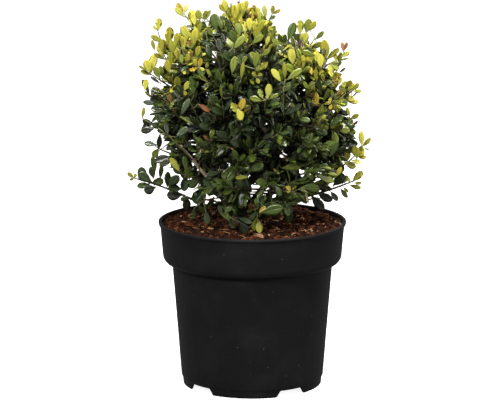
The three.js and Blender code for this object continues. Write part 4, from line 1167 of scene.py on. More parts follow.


# sprays that show singly in the photograph, picked off it in its pixels: how far behind the pot's axis, the
# twig's root, bend and tip, and for each leaf its foot, its tip, its breadth for its length, and its tint,
# matched to how bright the leaf shows with its light and shade, so the tints are partly the leaves' own
# colours and partly painted shade and painted highlight
singleSprays = [
    # low left
    (-8, ((203, 205), (172, 188), (134, 178)), [
        (134, 178, 128, 173, 0.5, 4), (134, 178, 136, 174, 0.6, 4), (134, 178, 130, 180, 0.6, 3),
        (144, 181, 141, 168, 0.56, 1), (152, 182, 139, 174, 0.56, 1), (151, 183, 163, 181, 0.52, 2),
        (150, 184, 138, 186, 0.48, 2), (156, 187, 145, 191, 0.7, 0), (167, 187, 168, 173, 0.46, 1),
        (168, 186, 178, 177, 0.55, 1), (182, 189, 169, 188, 0.65, 1), (183, 195, 168, 195, 0.6, 0),
        (190, 197, 181, 200, 0.5, 1), (186, 196, 187, 209, 0.55, 0), (206, 187, 195, 202, 0.68, 1),
        (214, 196, 208, 208, 0.42, 2), (200, 180, 188, 186, 0.6, 2), (186, 175, 184, 190, 0.45, 1),
        (160, 180, 161, 165, 0.32, 2),
        (179, 172, 188, 178, 0.5, 1), (196, 175, 204, 182, 0.5, 1), (190, 173, 197, 179, 0.5, 0),
        (204, 184, 198, 176, 0.5, 1)]),
    # left, from the middle up to the top
    (-16, ((175, 155), (160, 150), (155, 146)), [
        (157, 145, 145, 143, 0.4, 1), (160, 133, 159, 147, 0.35, 1), (159, 148, 153, 157, 0.5, 3),
        (155, 174, 152, 158, 0.42, 2), (171, 156, 156, 161, 0.42, 0), (173, 160, 160, 165, 0.42, 1),
        (154, 179, 151, 168, 0.45, 1), (183, 175, 174, 168, 0.5, 1)]),
    (-54, ((200, 180), (191, 177), (182, 174)), [
        (180, 172, 171, 159, 0.34, 4), (187, 172, 185, 157, 0.4, 2), (183, 173, 191, 168, 0.35, 3)]),
    (-36, ((181, 145), (160, 129), (142, 118)), [
        (142, 119, 144, 108, 0.3, 4), (153, 123, 143, 121, 0.5, 0), (154, 129, 142, 131, 0.5, 0),
        (152, 125, 143, 126, 0.5, 0), (154, 128, 142, 129, 0.55, 0), (151, 123, 157, 116, 0.3, 1),
        (159, 112, 150, 115, 0.25, 1), (163, 128, 153, 124, 0.5, 1), (166, 119, 157, 120, 0.5, 1),
        (168, 128, 158, 131, 0.5, 1)]),
    (-12, ((168, 104), (158, 100), (148, 95)), [
        (158, 104, 144, 102, 0.32, 1), (149, 92, 143, 81, 0.35, 0), (151, 98, 145, 92, 0.3, 3),
        (163, 92, 153, 89, 0.5, 1), (164, 98, 153, 97, 0.5, 1), (165, 107, 152, 109, 0.45, 1),
        (166, 102, 154, 104, 0.5, 2), (167, 112, 156, 110, 0.45, 1), (161, 84, 151, 77, 0.22, 0),
        (166, 93, 152, 92, 0.55, 1), (165, 101, 151, 99, 0.5, 0), (167, 116, 155, 114, 0.5, 1)]),
    (-12, ((172, 88), (160, 80), (149, 73)), [
        (151, 73, 154, 55, 0.45, 5), (150, 73, 146, 61, 0.5, 5), (151, 75, 141, 71, 0.35, 4),
        (147, 71, 139, 66, 0.22, 4), (160, 79, 155, 68, 0.5, 3), (163, 78, 160, 67, 0.45, 3)]),
    (-14, ((170, 60), (161, 44), (157, 28)), [
        (158, 31, 159, 19, 0.5, 5), (158, 31, 153, 26, 0.3, 4), (162, 42, 152, 36, 0.42, 4),
        (155, 51, 152, 41, 0.3, 4), (168, 46, 169, 28, 0.5, 5), (162, 52, 161, 40, 0.5, 5),
        (166, 60, 155, 54, 0.3, 4), (163, 58, 159, 45, 0.45, 5), (165, 55, 163, 40, 0.4, 5)]),
    (-8, ((199, 40), (193, 24), (183, 13)), [
        (183, 16, 178, 4, 0.38, 6), (184, 14, 187, 5, 0.38, 5), (184, 17, 176, 8, 0.38, 4),
        (187, 19, 191, 13, 0.3, 4), (196, 28, 187, 26, 0.25, 2),
        (195, 26, 192, 11, 0.5, 5), (200, 21, 198, 11, 0.5, 4),
        (203, 20, 206, 11, 0.45, 4), (204, 21, 210, 11, 0.3, 3), (216, 31, 214, 15, 0.55, 2),
        (200, 33, 198, 21, 0.45, 4), (206, 33, 203, 22, 0.4, 2)]),
    (-54, ((188, 78), (184, 62), (182, 48)), [
        (188, 40, 183, 27, 0.52, 4), (184, 50, 183, 37, 0.5, 5), (194, 46, 195, 31, 0.42, 5),
        (190, 46, 189, 41, 0.6, 7),
        (197, 57, 199, 47, 0.5, 5), (176, 46, 177, 34, 0.42, 5), (173, 54, 172, 42, 0.55, 4),
        (170, 66, 171, 53, 0.5, 4),
        (182, 64, 181, 55, 0.45, 3), (206, 69, 208, 63, 0.5, 4), (178, 60, 176, 49, 0.5, 5),
        (192, 60, 190, 50, 0.45, 5),
        (169, 73, 167, 61, 0.45, 5)]),
    # top
    (-6, ((228, 30), (228, 20), (226, 10)), [
        (226, 13, 220, 5, 0.42, 5), (227, 12, 224, 1, 0.45, 5), (228, 13, 227, 5, 0.4, 5),
        (231, 10, 231, 3, 0.2, 4),
        (235, 22, 234, 6, 0.5, 5), (240, 21, 240, 5, 0.5, 5), (245, 20, 246, 7, 0.5, 5),
        (243, 11, 242, 3, 0.42, 5),
        (246, 9, 247, 1, 0.42, 5), (250, 14, 248, 8, 0.35, 6), (252, 21, 252, 10, 0.5, 5),
        (256, 20, 257, 8, 0.5, 5),
        (260, 21, 259, 11, 0.5, 4)]),
    (-38, ((250, 52), (250, 42), (250, 32)), [
        (250, 31, 249, 19, 0.45, 5), (254, 32, 256, 20, 0.45, 5), (246, 33, 243, 22, 0.45, 5),
        (258, 34, 262, 22, 0.45, 4),
        (230, 32, 228, 20, 0.45, 1), (236, 31, 235, 18, 0.45, 4), (280, 46, 273, 40, 0.5, 3),
        (266, 46, 269, 37, 0.45, 4),
        (222, 30, 220, 19, 0.5, 2), (241, 30, 241, 18, 0.4, 5), (264, 36, 266, 27, 0.45, 3)]),
    (-4, ((262, 38), (266, 26), (272, 14)), [
        (266, 19, 264, 6, 0.32, 4), (269, 20, 275, 16, 0.4, 2), (272, 15, 273, 6, 0.42, 4),
        (272, 14, 280, 10, 0.35, 6), (266, 26, 271, 21, 0.4, 4), (266, 31, 273, 27, 0.4, 5),
        (270, 39, 272, 30, 0.6, 1), (281, 42, 279, 35, 0.5, 2), (285, 43, 285, 35, 0.5, 2)]),
    # right, from the top down
    (-4, ((296, 50), (298, 42), (300, 33)), [
        (288, 41, 294, 24, 0.36, 2), (300, 35, 300, 21, 0.48, 4), (306, 34, 309, 20, 0.46, 3),
        (310, 31, 315, 22, 0.46, 5), (300, 47, 306, 34, 0.5, 4), (296, 47, 291, 36, 0.3, 3)]),
    (-4, ((302, 56), (310, 46), (315, 38)), [
        (315, 40, 323, 32, 0.35, 3), (310, 49, 321, 43, 0.4, 3), (326, 60, 324, 42, 0.42, 5),
        (326, 60, 338, 49, 0.32, 4)]),
    (-60, ((312, 88), (313, 76), (312, 62)), [
        (293, 65, 291, 50, 0.5, 4), (303, 69, 303, 57, 0.45, 5), (309, 67, 311, 54, 0.5, 5),
        (316, 62, 317, 51, 0.5, 5),
        (321, 68, 320, 55, 0.5, 5), (324, 82, 321, 71, 0.45, 5), (312, 75, 310, 68, 0.45, 6),
        (317, 81, 316, 69, 0.4, 4),
        (322, 94, 317, 78, 0.4, 1), (315, 56, 303, 52, 0.42, 3), (301, 60, 297, 50, 0.45, 3),
        (332, 78, 330, 66, 0.45, 5)]),
    (-12, ((334, 80), (338, 66), (344, 52)), [
        (344, 53, 342, 43, 0.32, 7), (344, 51, 347, 43, 0.34, 7), (341, 57, 349, 52, 0.4, 4),
        (337, 63, 335, 54, 0.4, 4), (338, 63, 341, 53, 0.4, 4), (338, 61, 348, 58, 0.18, 3),
        (337, 60, 329, 66, 0.22, 3), (339, 73, 345, 68, 0.3, 3)]),
    (-8, ((336, 100), (345, 94), (352, 88)), [
        (349, 93, 352, 83, 0.48, 5), (352, 91, 358, 84, 0.48, 5), (353, 91, 361, 91, 0.42, 4),
        (351, 98, 357, 92, 0.18, 3), (348, 100, 346, 93, 0.5, 5), (346, 101, 358, 102, 0.35, 5),
        (340, 89, 347, 82, 0.5, 4), (338, 85, 333, 79, 0.5, 6), (346, 93, 340, 86, 0.5, 4),
        (340, 80, 336, 72, 0.4, 5),
        (343, 98, 354, 99, 0.45, 5), (333, 79, 341, 74, 0.4, 6), (345, 88, 351, 81, 0.5, 5)]),
    (-8, ((338, 124), (345, 120), (350, 117)), [
        (350, 117, 347, 108, 0.32, 5), (350, 119, 358, 115, 0.45, 5), (348, 117, 353, 122, 0.4, 4),
        (343, 129, 354, 125, 0.5, 2), (345, 147, 357, 143, 0.5, 1), (344, 139, 354, 136, 0.5, 2),
        (343, 151, 353, 150, 0.5, 2), (340, 110, 347, 114, 0.5, 1), (350, 122, 351, 139, 0.4, 1),
        (339, 131, 349, 130, 0.6, 3), (342, 121, 353, 124, 0.5, 2), (343, 129, 348, 124, 0.35, 5)]),
    (-10, ((338, 168), (352, 162), (361, 147)), [
        (362, 147, 361, 132, 0.34, 5), (362, 147, 370, 139, 0.34, 5), (363, 147, 369, 150, 0.2, 3),
        (357, 159, 355, 147, 0.6, 5), (361, 159, 361, 147, 0.5, 5), (358, 157, 366, 157, 0.4, 6),
        (351, 160, 360, 163, 0.5, 5), (344, 162, 355, 167, 0.48, 4), (347, 162, 347, 151, 0.6, 5),
        (356, 156, 364, 153, 0.45, 5)]),
    # low right
    (-8, ((308, 196), (332, 190), (353, 181)), [
        (352, 182, 362, 172, 0.44, 4), (354, 183, 361, 183, 0.42, 4), (349, 185, 360, 188, 0.38, 4),
        (349, 183, 349, 178, 0.5, 4), (343, 187, 348, 192, 0.4, 4), (340, 188, 347, 197, 0.35, 2),
        (333, 189, 319, 187, 0.5, 0), (317, 193, 331, 200, 0.42, 0), (330, 191, 337, 200, 0.45, 0),
        (311, 195, 323, 209, 0.42, 0), (333, 186, 343, 175, 0.6, 1), (342, 184, 347, 176, 0.5, 3),
        (341, 175, 342, 165, 0.5, 1), (329, 180, 336, 170, 0.5, 1)]),
    (-44, ((306, 182), (312, 180), (318, 176)), [
        (316, 175, 333, 181, 0.36, 3), (304, 186, 319, 190, 0.36, 2), (320, 168, 331, 163, 0.45, 0),
        (336, 177, 341, 168, 0.4, 5)]),
    # over the compost
    (-62, ((257, 200), (257, 212), (258, 222)), [
        (258, 219, 260, 232, 0.5, 4), (257, 210, 249, 205, 0.5, 7), (259, 213, 265, 207, 0.5, 6),
        (261, 213, 281, 208, 0.48, 2), (257, 217, 254, 230, 0.42, 3), (258, 208, 256, 199, 0.5, 2),
        (262, 209, 263, 199, 0.4, 1), (256, 212, 251, 219, 0.5, 1)]),
    (-58, ((226, 195), (224, 204), (228, 216)), [
        (230, 222, 222, 206, 0.5, 2), (226, 213, 231, 207, 0.5, 2), (228, 220, 234, 227, 0.55, 1),
        (222, 214, 219, 206, 0.5, 1), (239, 218, 251, 222, 0.5, 1), (240, 222, 246, 233, 0.6, 0)]),
    (-62, ((226, 180), (216, 186), (208, 188)), [
        (226, 186, 212, 192, 0.5, 1), (228, 197, 214, 190, 0.5, 0), (222, 184, 213, 178, 0.55, 1),
        (204, 181, 216, 173, 0.5, 1),
        (214, 189, 204, 181, 0.5, 1), (221, 193, 213, 182, 0.5, 1), (220, 172, 208, 175, 0.45, 1)]),
    (-40, ((205, 196), (204, 205), (206, 212)), [
        (206, 211, 208, 223, 0.5, 1), (194, 208, 193, 218, 0.5, 1), (197, 204, 204, 212, 0.5, 1),
        (288, 203, 289, 222, 0.4, 1), (283, 203, 292, 212, 0.5, 1), (275, 200, 277, 210, 0.6, 0)]),
    # whorls on the front
    (-104, ((236, 128), (236, 118), (239, 110)), [
        (239, 112, 244, 100, 0.42, 6), (238, 114, 250, 107, 0.44, 6), (237, 109, 242, 119, 0.6, 5),
        (240, 114, 232, 104, 0.48, 4), (239, 112, 237, 105, 0.35, 7), (235, 121, 229, 125, 0.3, 1)]),
    (-104, ((265, 115), (264, 108), (266, 98)), [
        (262, 101, 251, 98, 0.42, 3), (263, 99, 259, 90, 0.5, 3), (268, 99, 269, 85, 0.42, 4),
        (269, 99, 278, 95, 0.4, 3), (268, 98, 266, 96, 0.6, 5)]),
    (-90, ((272, 140), (264, 130), (258, 117)), [
        (284, 115, 300, 105, 0.36, 1), (284, 115, 281, 103, 0.2, 2), (292, 138, 289, 127, 0.4, 1),
        (271, 138, 273, 130, 0.2, 2), (243, 130, 255, 128, 0.4, 1), (222, 99, 221, 86, 0.2, 3)]),
    (-76, ((256, 160), (252, 168), (247, 175)), [
        (248, 177, 236, 178, 0.36, 4), (249, 171, 262, 165, 0.5, 2), (234, 174, 222, 176, 0.5, 2),
        # the leaf from 210, 139 takes a paler tint as a painted highlight
        (232, 150, 224, 152, 0.5, 2), (226, 147, 220, 142, 0.4, 2), (210, 139, 214, 130, 0.5, 3),
        (210, 152, 202, 150, 0.4, 3), (230, 148, 233, 149, 0.5, 7), (209, 141, 204, 136, 0.35, 7)]),
    (-62, ((285, 178), (288, 184), (291, 190)), [
        (291, 191, 287, 186, 0.6, 6), (291, 190, 296, 186, 0.45, 5), (291, 191, 287, 192, 0.6, 5),
        (277, 172, 274, 169, 0.6, 5), (277, 172, 279, 174, 0.7, 5), (281, 168, 300, 166, 0.34, 3),
        (298, 189, 312, 190, 0.45, 3), (301, 187, 318, 189, 0.5, 2), (275, 185, 281, 195, 0.5, 2),
        (268, 177, 276, 185, 0.5, 2)]),
    (-58, ((250, 172), (244, 180), (240, 192)), [
        (228, 195, 240, 183, 0.55, 1), (242, 191, 242, 205, 0.6, 1), (239, 181, 248, 187, 0.6, 1),
        (222, 186, 214, 176, 0.5, 1), (258, 182, 270, 172, 0.5, 1)]),
    (-56, ((325, 118), (320, 110), (318, 104)), [
        (317, 106, 316, 94, 0.4, 6), (320, 104, 312, 101, 0.4, 6), (329, 104, 331, 98, 0.5, 5),
        (332, 104, 330, 109, 0.6, 6), (336, 105, 341, 108, 0.5, 4), (324, 104, 330, 103, 0.4, 6),
        (329, 126, 342, 117, 0.45, 2), (311, 117, 319, 128, 0.42, 2), (330, 157, 337, 143, 0.4, 2)]),
    (-96, ((284, 118), (282, 98), (285, 79)), [
        (281, 82, 273, 70, 0.4, 4), (282, 82, 280, 70, 0.5, 3), (285, 80, 284, 64, 0.3, 4),
        (287, 80, 301, 70, 0.36, 3), (283, 92, 291, 86, 0.3, 2)]),
    (-92, ((250, 96), (252, 76), (261, 54)), [
        (256, 77, 253, 72, 0.6, 5), (257, 76, 262, 74, 0.6, 4), (256, 78, 259, 83, 0.6, 4),
        (232, 74, 235, 58, 0.35, 3), (240, 64, 238, 56, 0.6, 2), (242, 64, 246, 57, 0.5, 3),
        (241, 80, 243, 64, 0.22, 4), (255, 68, 257, 54, 0.4, 3), (256, 71, 267, 63, 0.4, 4),
        (262, 56, 269, 50, 0.5, 3)]),
    (-60, ((250, 62), (244, 54), (236, 46)), [
        (234, 49, 244, 37, 0.42, 3), (236, 44, 231, 32, 0.5, 2), (247, 43, 245, 33, 0.5, 4),
        (255, 40, 258, 28, 0.5, 4), (252, 44, 262, 36, 0.45, 3), (240, 36, 238, 24, 0.55, 3)]),
    (-72, ((222, 76), (220, 62), (214, 50)), [
        (214, 45, 202, 41, 0.5, 1), (221, 52, 218, 40, 0.55, 0), (226, 60, 233, 50, 0.5, 1),
        (212, 58, 207, 48, 0.5, 1), (226, 44, 222, 34, 0.5, 0), (213, 36, 208, 29, 0.5, 3)]),
    (-84, ((200, 120), (194, 112), (190, 102)), [
        (181, 115, 189, 100, 0.35, 1), (198, 104, 209, 111, 0.3, 7), (194, 95, 190, 78, 0.4, 2),
        (193, 124, 181, 117, 0.14, 3)]),
    (-72, ((192, 160), (176, 141), (158, 128)), [
        (176, 137, 187, 128, 0.45, 1), (168, 135, 166, 124, 0.4, 0), (182, 148, 191, 142, 0.4, 0)]),
    (-18, ((168, 104), (158, 99), (148, 94)), [
        (145, 91, 146, 80, 0.45, 5), (151, 96, 155, 87, 0.45, 3), (149, 94, 147, 88, 0.4, 1)]),
    (-70, ((205, 80), (202, 74), (198, 67)), [
        (198, 68, 190, 70, 0.42, 6), (199, 68, 201, 59, 0.45, 6), (199, 68, 204, 70, 0.5, 5),
        (197, 67, 194, 60, 0.42, 5), (197, 66, 195, 64, 0.6, 7), (184, 91, 189, 82, 0.45, 5),
        (184, 91, 186, 95, 0.7, 5),
        (171, 104, 169, 95, 0.3, 7), (170, 109, 173, 102, 0.4, 3)]),
]
# shares, and in mm: scatter, rooted and radii; in pixels: clear; clearFrom is a tint's number
singles = {
    "longer": 1.08, "broader": 1.3, "scatter": 9, "deeper": 0.3, "roll": 0.26, "lowestFace": -0.12,
    "turned": (0.06, 0, -0.1), "rooted": (20.0, 7.0, 0.0), "woodyBelow": 240, "woodyBehind": -20,
    "clear": 2.4, "clearFrom": 2, "midribPart": (0.1, 0.95), "sag": 0.08,
    "radii": (1.0, 0.5), "woodyRadii": (1.4, 0.7), "stalkRadii": (0.45, 0.32), "carrierRadii": (0.8, 0.6),
}


# the picked leaves: each a little nearer or farther than its spray, leaning to or from the front, turned to
# the front off the main light's glare and rolled, but never far down; their twigs come out of the crown
def growSingles():
    rng = np.random.default_rng(seeds["singles"])
    counts = [len(leaves) for _, _, leaves in singleSprays]
    rows = np.concatenate([np.array(leaves, float) for _, _, leaves in singleSprays])
    depth = np.repeat([depth for depth, _, _ in singleSprays], counts)
    depth = depth + rng.uniform(-1, 1, len(rows)) * singles["scatter"]
    foot = fromPhoto(rows[:, :2], depth)
    reach = np.linalg.norm(rows[:, 2:4] - rows[:, :2], axis=1)
    tipDepth = depth + rng.uniform(-1, 1, len(rows)) * singles["deeper"] * reach
    axis = fromPhoto(rows[:, 2:4], tipDepth) - foot
    length = np.linalg.norm(axis, axis=1)
    ahead = axis / length[:, None]
    face = singles["turned"] - cameraAhead + 0 * ahead
    face = unit(face - ahead * dot(face, ahead))
    roll = rng.normal(0, singles["roll"], len(rows))[:, None]
    face = face * np.cos(roll) + np.cross(ahead, face) * np.sin(roll)
    face = face + up * (singles["lowestFace"] - face[:, 2:]).clip(0)
    face = unit(face - ahead * dot(face, ahead))
    wide = rows[:, 4] * singles["broader"] * reach / leaf["width"]
    size = length * singles["longer"] / leaf["length"]
    frames = np.stack([ahead * size[:, None], np.cross(face, ahead) * wide[:, None], face * size[:, None]], 1)
    rooted = np.array(singles["rooted"])
    curves = np.array([fromPhoto(twig, depth + rooted) for depth, twig, _ in singleSprays])
    return foot, frames, rows[:, 5].astype(int), curves.transpose(1, 0, 2)


# true for points that would hide a picked leaf: nearer than it, and seen within some pixels of its midrib
def hidesSingles(points, foot, axis):
    start, spot = seen(foot)[None], seen(points)[:, None]
    run = seen(foot + axis)[None] - start
    share = np.clip(dot(spot - start, run) / np.maximum(dot(run, run), 1e-6), *singles["midribPart"])
    off = np.linalg.norm(spot - start - run * share, axis=-1)
    return ((off < singles["clear"]) & (points[:, None, 1] < foot[None, :, 1])).any(1)


# stalks from the nearest point of the twigs that carry them to some feet, sagging a little
def growStalks(feet, carriers):
    spots = bezier(carriers[:, :, None], np.linspace(0.05, 1, 12)).reshape(-1, 3)
    near = spots[np.linalg.norm(feet[:, None] - spots[None], axis=-1).argmin(1)]
    sag = singles["sag"] * np.linalg.norm(feet - near, axis=1, keepdims=True)
    return np.stack([near, mix(near, feet, 0.5) - up * sag, feet])


# Tints

# linear base colours from old, deep green leaves to gold and bronze tips, gloss, and the record's slots; the
# darkest, dealt out deep in the crown, are partly painted shade
tints = {
    "leavesDeep": ((0.0135, 0.0185, 0.0095), 0.6, "foliage_dark"),
    "leavesDark": ((0.0235, 0.0405, 0.0118), 1.0, "foliage_dark"),
    "leavesGreen": ((0.051, 0.082, 0.0128), 1.0, "foliage_mixed"),
    "leavesFresh": ((0.122, 0.152, 0.017), 0.7, "foliage_mixed"),
    "leavesYoung": ((0.24, 0.25, 0.03), 0.45, "foliage_young"),
    "leavesGold": ((0.335, 0.326, 0.039), 0.4, "foliage_young"),
    "leavesAmber": ((0.38, 0.285, 0.032), 0.4, "foliage_young"),
    "leavesBronze": ((0.2, 0.083, 0.028), 0.5, "foliage_young"),
}
# the dry leaf's pale tan is partly its own colour and partly painted light, made paler where the crown shades
# it
deadLeaf = {"colour": (0.66, 0.5, 0.29), "foot": (304.5, 187), "depth": -40, "way": (0.24, -0.12, -1.0),
            "face": (-0.35, -1.0, 0.3), "size": 0.98, "cup": 0.5, "bend": 0.1, "slim": 0.34}
# the dark hollow in the crown's front, where darker leaf tints and fewer young twigs paint its shade: pairs
# are where an edge fades in or out, or how far it moves
paintedHollowShade = {"left": (-84, -48), "leftMoves": (302, 318), "leftFade": 18, "right": (18, 40), "floor": (255, 285),
          "top": (374, 356), "topMoves": (-22, -6), "topFade": 14, "front": (-25, 15)}
# how many twigs are young: a gain, and the stretch in mm over which it comes in; the fewer young twigs in the
# dark hollow are painted shade
youth = {"least": 0.03, "upper": (0.62, 292, 350), "crest": (0.33, 338, 362),
         "right": (0.55, 30, 75), "rightAbove": (245, 295), "left": (0.55, -85, -60), "leftAbove": (285, 320),
         "inPaintedShade": 0.6, "depth": (0.62, 0.86)}
# a leaf's age number, 0 old to 5 gold, by its rank from the tip, and what its place adds or takes; inside,
# depth and deep make leaves within the crown darker, partly as older leaves and partly as painted shade, and
# less so near the crest as painted light through young leaves; the hollow keys are painted shade, and foot
# makes leaves darker towards the bottom
agesAndPaintedShade = {"old": (2.7, 2.3, 2.0, 1.7, 1.5, 1.3, 1.1, 0.9, 0.8),
        "new": (4.7, 4.4, 4.2, 4.0, 3.8, 3.5, 3.2, 2.8, 2.4),
        "twigSpread": 0.45, "leafSpread": 0.3, "inside": 1.3, "depth": (0.5, 0.9), "deep": (1.4, 0.8),
        "lift": (290, 365), "liftNew": 0.3, "liftOld": 0.6, "crest": (328, 356), "crestInPaintedShade": 0.8,
        "paintedHollowShade": 0.6, "paintedShadeTop": (0.5, 322, 340), "foot": 0.15, "footBelow": (190, 240),
        "skirt": 0.55, "skirtBand": ((195, 210), (228, 250)),
        "waist": 0.3, "waistBand": ((262, 282), (308, 325)),
        "frontHalf": 66, "frontBefore": -20, "frontLevels": (186, 265), "frontGain": 0.6, "frontMost": 2.45}


# glossy upper face: a paler midrib and side veins, a warmer tip; and a paler, duller underside
def leafMaterials(name, colour, gloss):
    colour = np.array(colour)
    made = []
    faces = (("Top", colour), ("Under", mix(colour, np.array(leaf["underTint"]), leaf["underPale"])))
    for (face, tone), rough, coat in zip(faces, leaf["roughness"], leaf["coat"]):
        material, shade = newMaterial(name + face)
        place = shade.node("ShaderNodeUVMap", {"uv_map": "leaf"})
        along = shade.node("ShaderNodeSeparateXYZ", None, {"Vector": place}, 0)
        across = abs(shade.node("ShaderNodeSeparateXYZ", None, {"Vector": place}, 1) * 2 - 1)
        midrib = 1 - across.rising(0.03, 0.13)
        veins = 1 - abs((along * leaf["veins"] - across * leaf["veinSlant"]).part() - 0.5).rising(0.02, 0.14)
        veins = veins * across.rising(0.04, 0.2) * (1 - across.rising(0.75, 1))
        pale = np.minimum(mix(tone, np.array(leaf["veinTint"]), 0.06) * 1.15, 1)
        warm = np.minimum(tone * leaf["tipWarmth"], 1)
        base = along.rising(0.35, 1.0).blend(tuple(tone * 0.9), tuple(warm))
        colours = (midrib * 0.6 + veins * 0.12).blend(base, tuple(pale))
        dull = rough + 0.1 * (1 - gloss) + veins * 0.06 + midrib * 0.08
        surface(shade, {"Base Color": colours, "Roughness": dull, "Coat Weight": coat * gloss,
                        "Specular IOR Level": leaf["shine"] * mix(0.5, 1, gloss),
                        "Coat Roughness": leaf["coatRoughness"]},
                0 - midrib - veins * 0.15, leaf["bumpHeight"])
        made.append(material)
    return made


# 1 between two S curves, the first rising and the second falling
def band(rising, falling, x):
    return ease(*rising, x) * (1 - ease(*falling, x))


# a gain that comes in over a stretch
def gained(gain, low, high, x):
    return gain * ease(low, high, x)


# how far points lie in the painted shade of the dark hollow that the photograph shows in the middle of the
# crown's front
def paintedHollowShadeAt(points):
    x, y, z = points.T
    left = mix(*paintedHollowShade["left"], ease(*paintedHollowShade["leftMoves"], z))
    top = mix(*paintedHollowShade["top"], ease(*paintedHollowShade["topMoves"], x))
    across = band((left, left + paintedHollowShade["leftFade"]), paintedHollowShade["right"], x)
    return across * band(paintedHollowShade["floor"], (top - paintedHollowShade["topFade"], top), z) * (1 - ease(*paintedHollowShade["front"], y))


# the share of young twigs where their tips lie: more towards the top and on both shoulders, and fewer in
# the dark hollow, where fewer pale young leaves paint its shade
def youngShare(tips, inside):
    x, _, height = tips.T
    leftGain, *left = youth["left"]
    share = youth["least"] + gained(*youth["upper"], height) + gained(*youth["crest"], height)
    share += gained(*youth["right"], x) * ease(*youth["rightAbove"], height)
    share += leftGain * (1 - ease(*left, x)) * ease(*youth["leftAbove"], height)
    share -= youth["inPaintedShade"] * paintedHollowShadeAt(tips)
    return share * ease(*youth["depth"], depthOf(tips)) * ~inside


# how young each leaf looks, 0 old to 5 gold: by the age of its twig, its place on it, its height and depth;
# the darker tints deep in the crown are partly, and those in the dark hollow wholly, painted shade, and the
# lighter ones inside near the crest are painted light through young leaves
def leafTints(leaves, tips, inside):
    rng = np.random.default_rng(seeds["tints"])
    young = rng.uniform(0, 1, len(tips)) < youngShare(tips, inside)
    # twigs inside the crown get darker leaves: partly their older leaves, partly painted shade
    shift = rng.normal(0, agesAndPaintedShade["twigSpread"], len(tips)) - agesAndPaintedShade["inside"] * inside
    owner, rank, base = leaves["owner"], leaves["rank"], leaves["base"]
    old, new = np.array(agesAndPaintedShade["old"])[rank], np.array(agesAndPaintedShade["new"])[rank]
    x, y, level = base.T
    # how far each leaf lies in the dark hollow, whose darker tints there are painted shade
    within, paintedShade = 1 - ease(*agesAndPaintedShade["depth"], depthOf(base)), paintedHollowShadeAt(base)
    lift, crest = ease(*agesAndPaintedShade["lift"], level), ease(*agesAndPaintedShade["crest"], level) * (1 - agesAndPaintedShade["crestInPaintedShade"] * paintedShade)
    shade = np.where(young[owner], new + lift * agesAndPaintedShade["liftNew"], old + lift * agesAndPaintedShade["liftOld"] + crest)
    shade += shift[owner] + rng.normal(0, agesAndPaintedShade["leafSpread"], len(rank))
    # painted shade: darker in the dark hollow and deeper in the crown; painted light: less of that darkening
    # inside near the crest, for light through young leaves
    shade -= (agesAndPaintedShade["paintedHollowShade"] + gained(*agesAndPaintedShade["paintedShadeTop"], level)) * paintedShade + within * mix(*agesAndPaintedShade["deep"], crest)
    shade -= agesAndPaintedShade["foot"] * (1 - ease(*agesAndPaintedShade["footBelow"], level))
    shade += agesAndPaintedShade["skirt"] * band(*agesAndPaintedShade["skirtBand"], level) - agesAndPaintedShade["waist"] * band(*agesAndPaintedShade["waistBand"], level)
    low, high = agesAndPaintedShade["frontLevels"]
    front = (np.abs(x) < agesAndPaintedShade["frontHalf"]) & (y < agesAndPaintedShade["frontBefore"]) & (level > low) & (level < high)
    shade = np.where(front, np.minimum(shade + agesAndPaintedShade["frontGain"], agesAndPaintedShade["frontMost"]), shade)
    return np.clip(np.round(shade), 0, 5).astype(int)


# Foliage

# all twigs as curves: stems, shoots with the low branches, leafy sprays, and twigs inside the crown
def growTwigs():
    stems = growStems()
    shoots = growShoots(stems)
    shoots = np.concatenate([shoots, growStanding(shoots)], 1)
    for _ in range(twigs["trims"]):  # shoots that reach past the outline are cut back
        past = ~inOutline(shoots[2])
        shoots[2, past] = bezier(shoots[:, past], np.full(past.sum(), twigs["trimTo"]))
    sprays = np.concatenate([growSideTwigs(shoots, sprayTwigs), growSideTwigs(lowBranches, lowTwigs)], 1)
    boughCurves = np.array([b["curve"] for b in boughs]).transpose(1, 0, 2)
    inner = np.concatenate([growSideTwigs(shoots, innerTwigs), growSideTwigs(boughCurves, boughTwigs),
                            growSideTwigs(stems, boughTwigs)], 1)
    sprays, inner = (some[:, inOutline(some[2]) & clearOfSky(some[0], some[2], twigs["skyGap"])]
                     for some in (sprays, inner))
    return stems, np.concatenate([shoots, lowBranches], 1), sprays, inner


# woody twigs, green twigs with the stalks of the picked leaves, and the limb that shows at the front
def buildTwigs(stems, shoots, sprays, inner, singleTwigs, feet):
    carriers = np.concatenate([stems, shoots, sprays, inner], 1)
    carried = growStalks(singleTwigs[0], carriers)
    stalks = growStalks(feet, np.concatenate([carriers, singleTwigs, carried], 1))
    old = (singleTwigs[2, :, 2] < singles["woodyBelow"]) & (singleTwigs[2, :, 1] > singles["woodyBehind"])
    woody = [sideTubes(singleTwigs[:, old], singles["woodyRadii"]),
             sideTubes(carried, singles["carrierRadii"]),
             twigTubes(stems, twigs["stemRadii"], twigs["stemSteps"], twigs["stemSides"]),
             twigTubes(shoots, twigs["shootRadii"], twigs["shootSteps"], twigs["shootSides"]),
             sideTubes(inner, twigs["sideRadii"])]
    addPiece("brownTwigs", joined(woody), [twigBark("brownTwig", twigs["brown"])], foliageNames)
    tender = [sideTubes(sprays, twigs["sideRadii"]), sideTubes(singleTwigs[:, ~old], singles["radii"]),
              sideTubes(stalks, singles["stalkRadii"])]
    green = twigBark("greenTwig", twigs["green"])
    addPiece("greenTwigs", joined(tender), [green], foliageNames)
    limbTube = twigTubes(limbCurve[:, None], limb["radii"], limb["steps"], limb["sides"])
    limbBark = barkMaterial("limbBark", bark["limbDark"], bark["limbLight"])
    addPiece("frontLimb", limbTube, [limbBark], foliageNames)


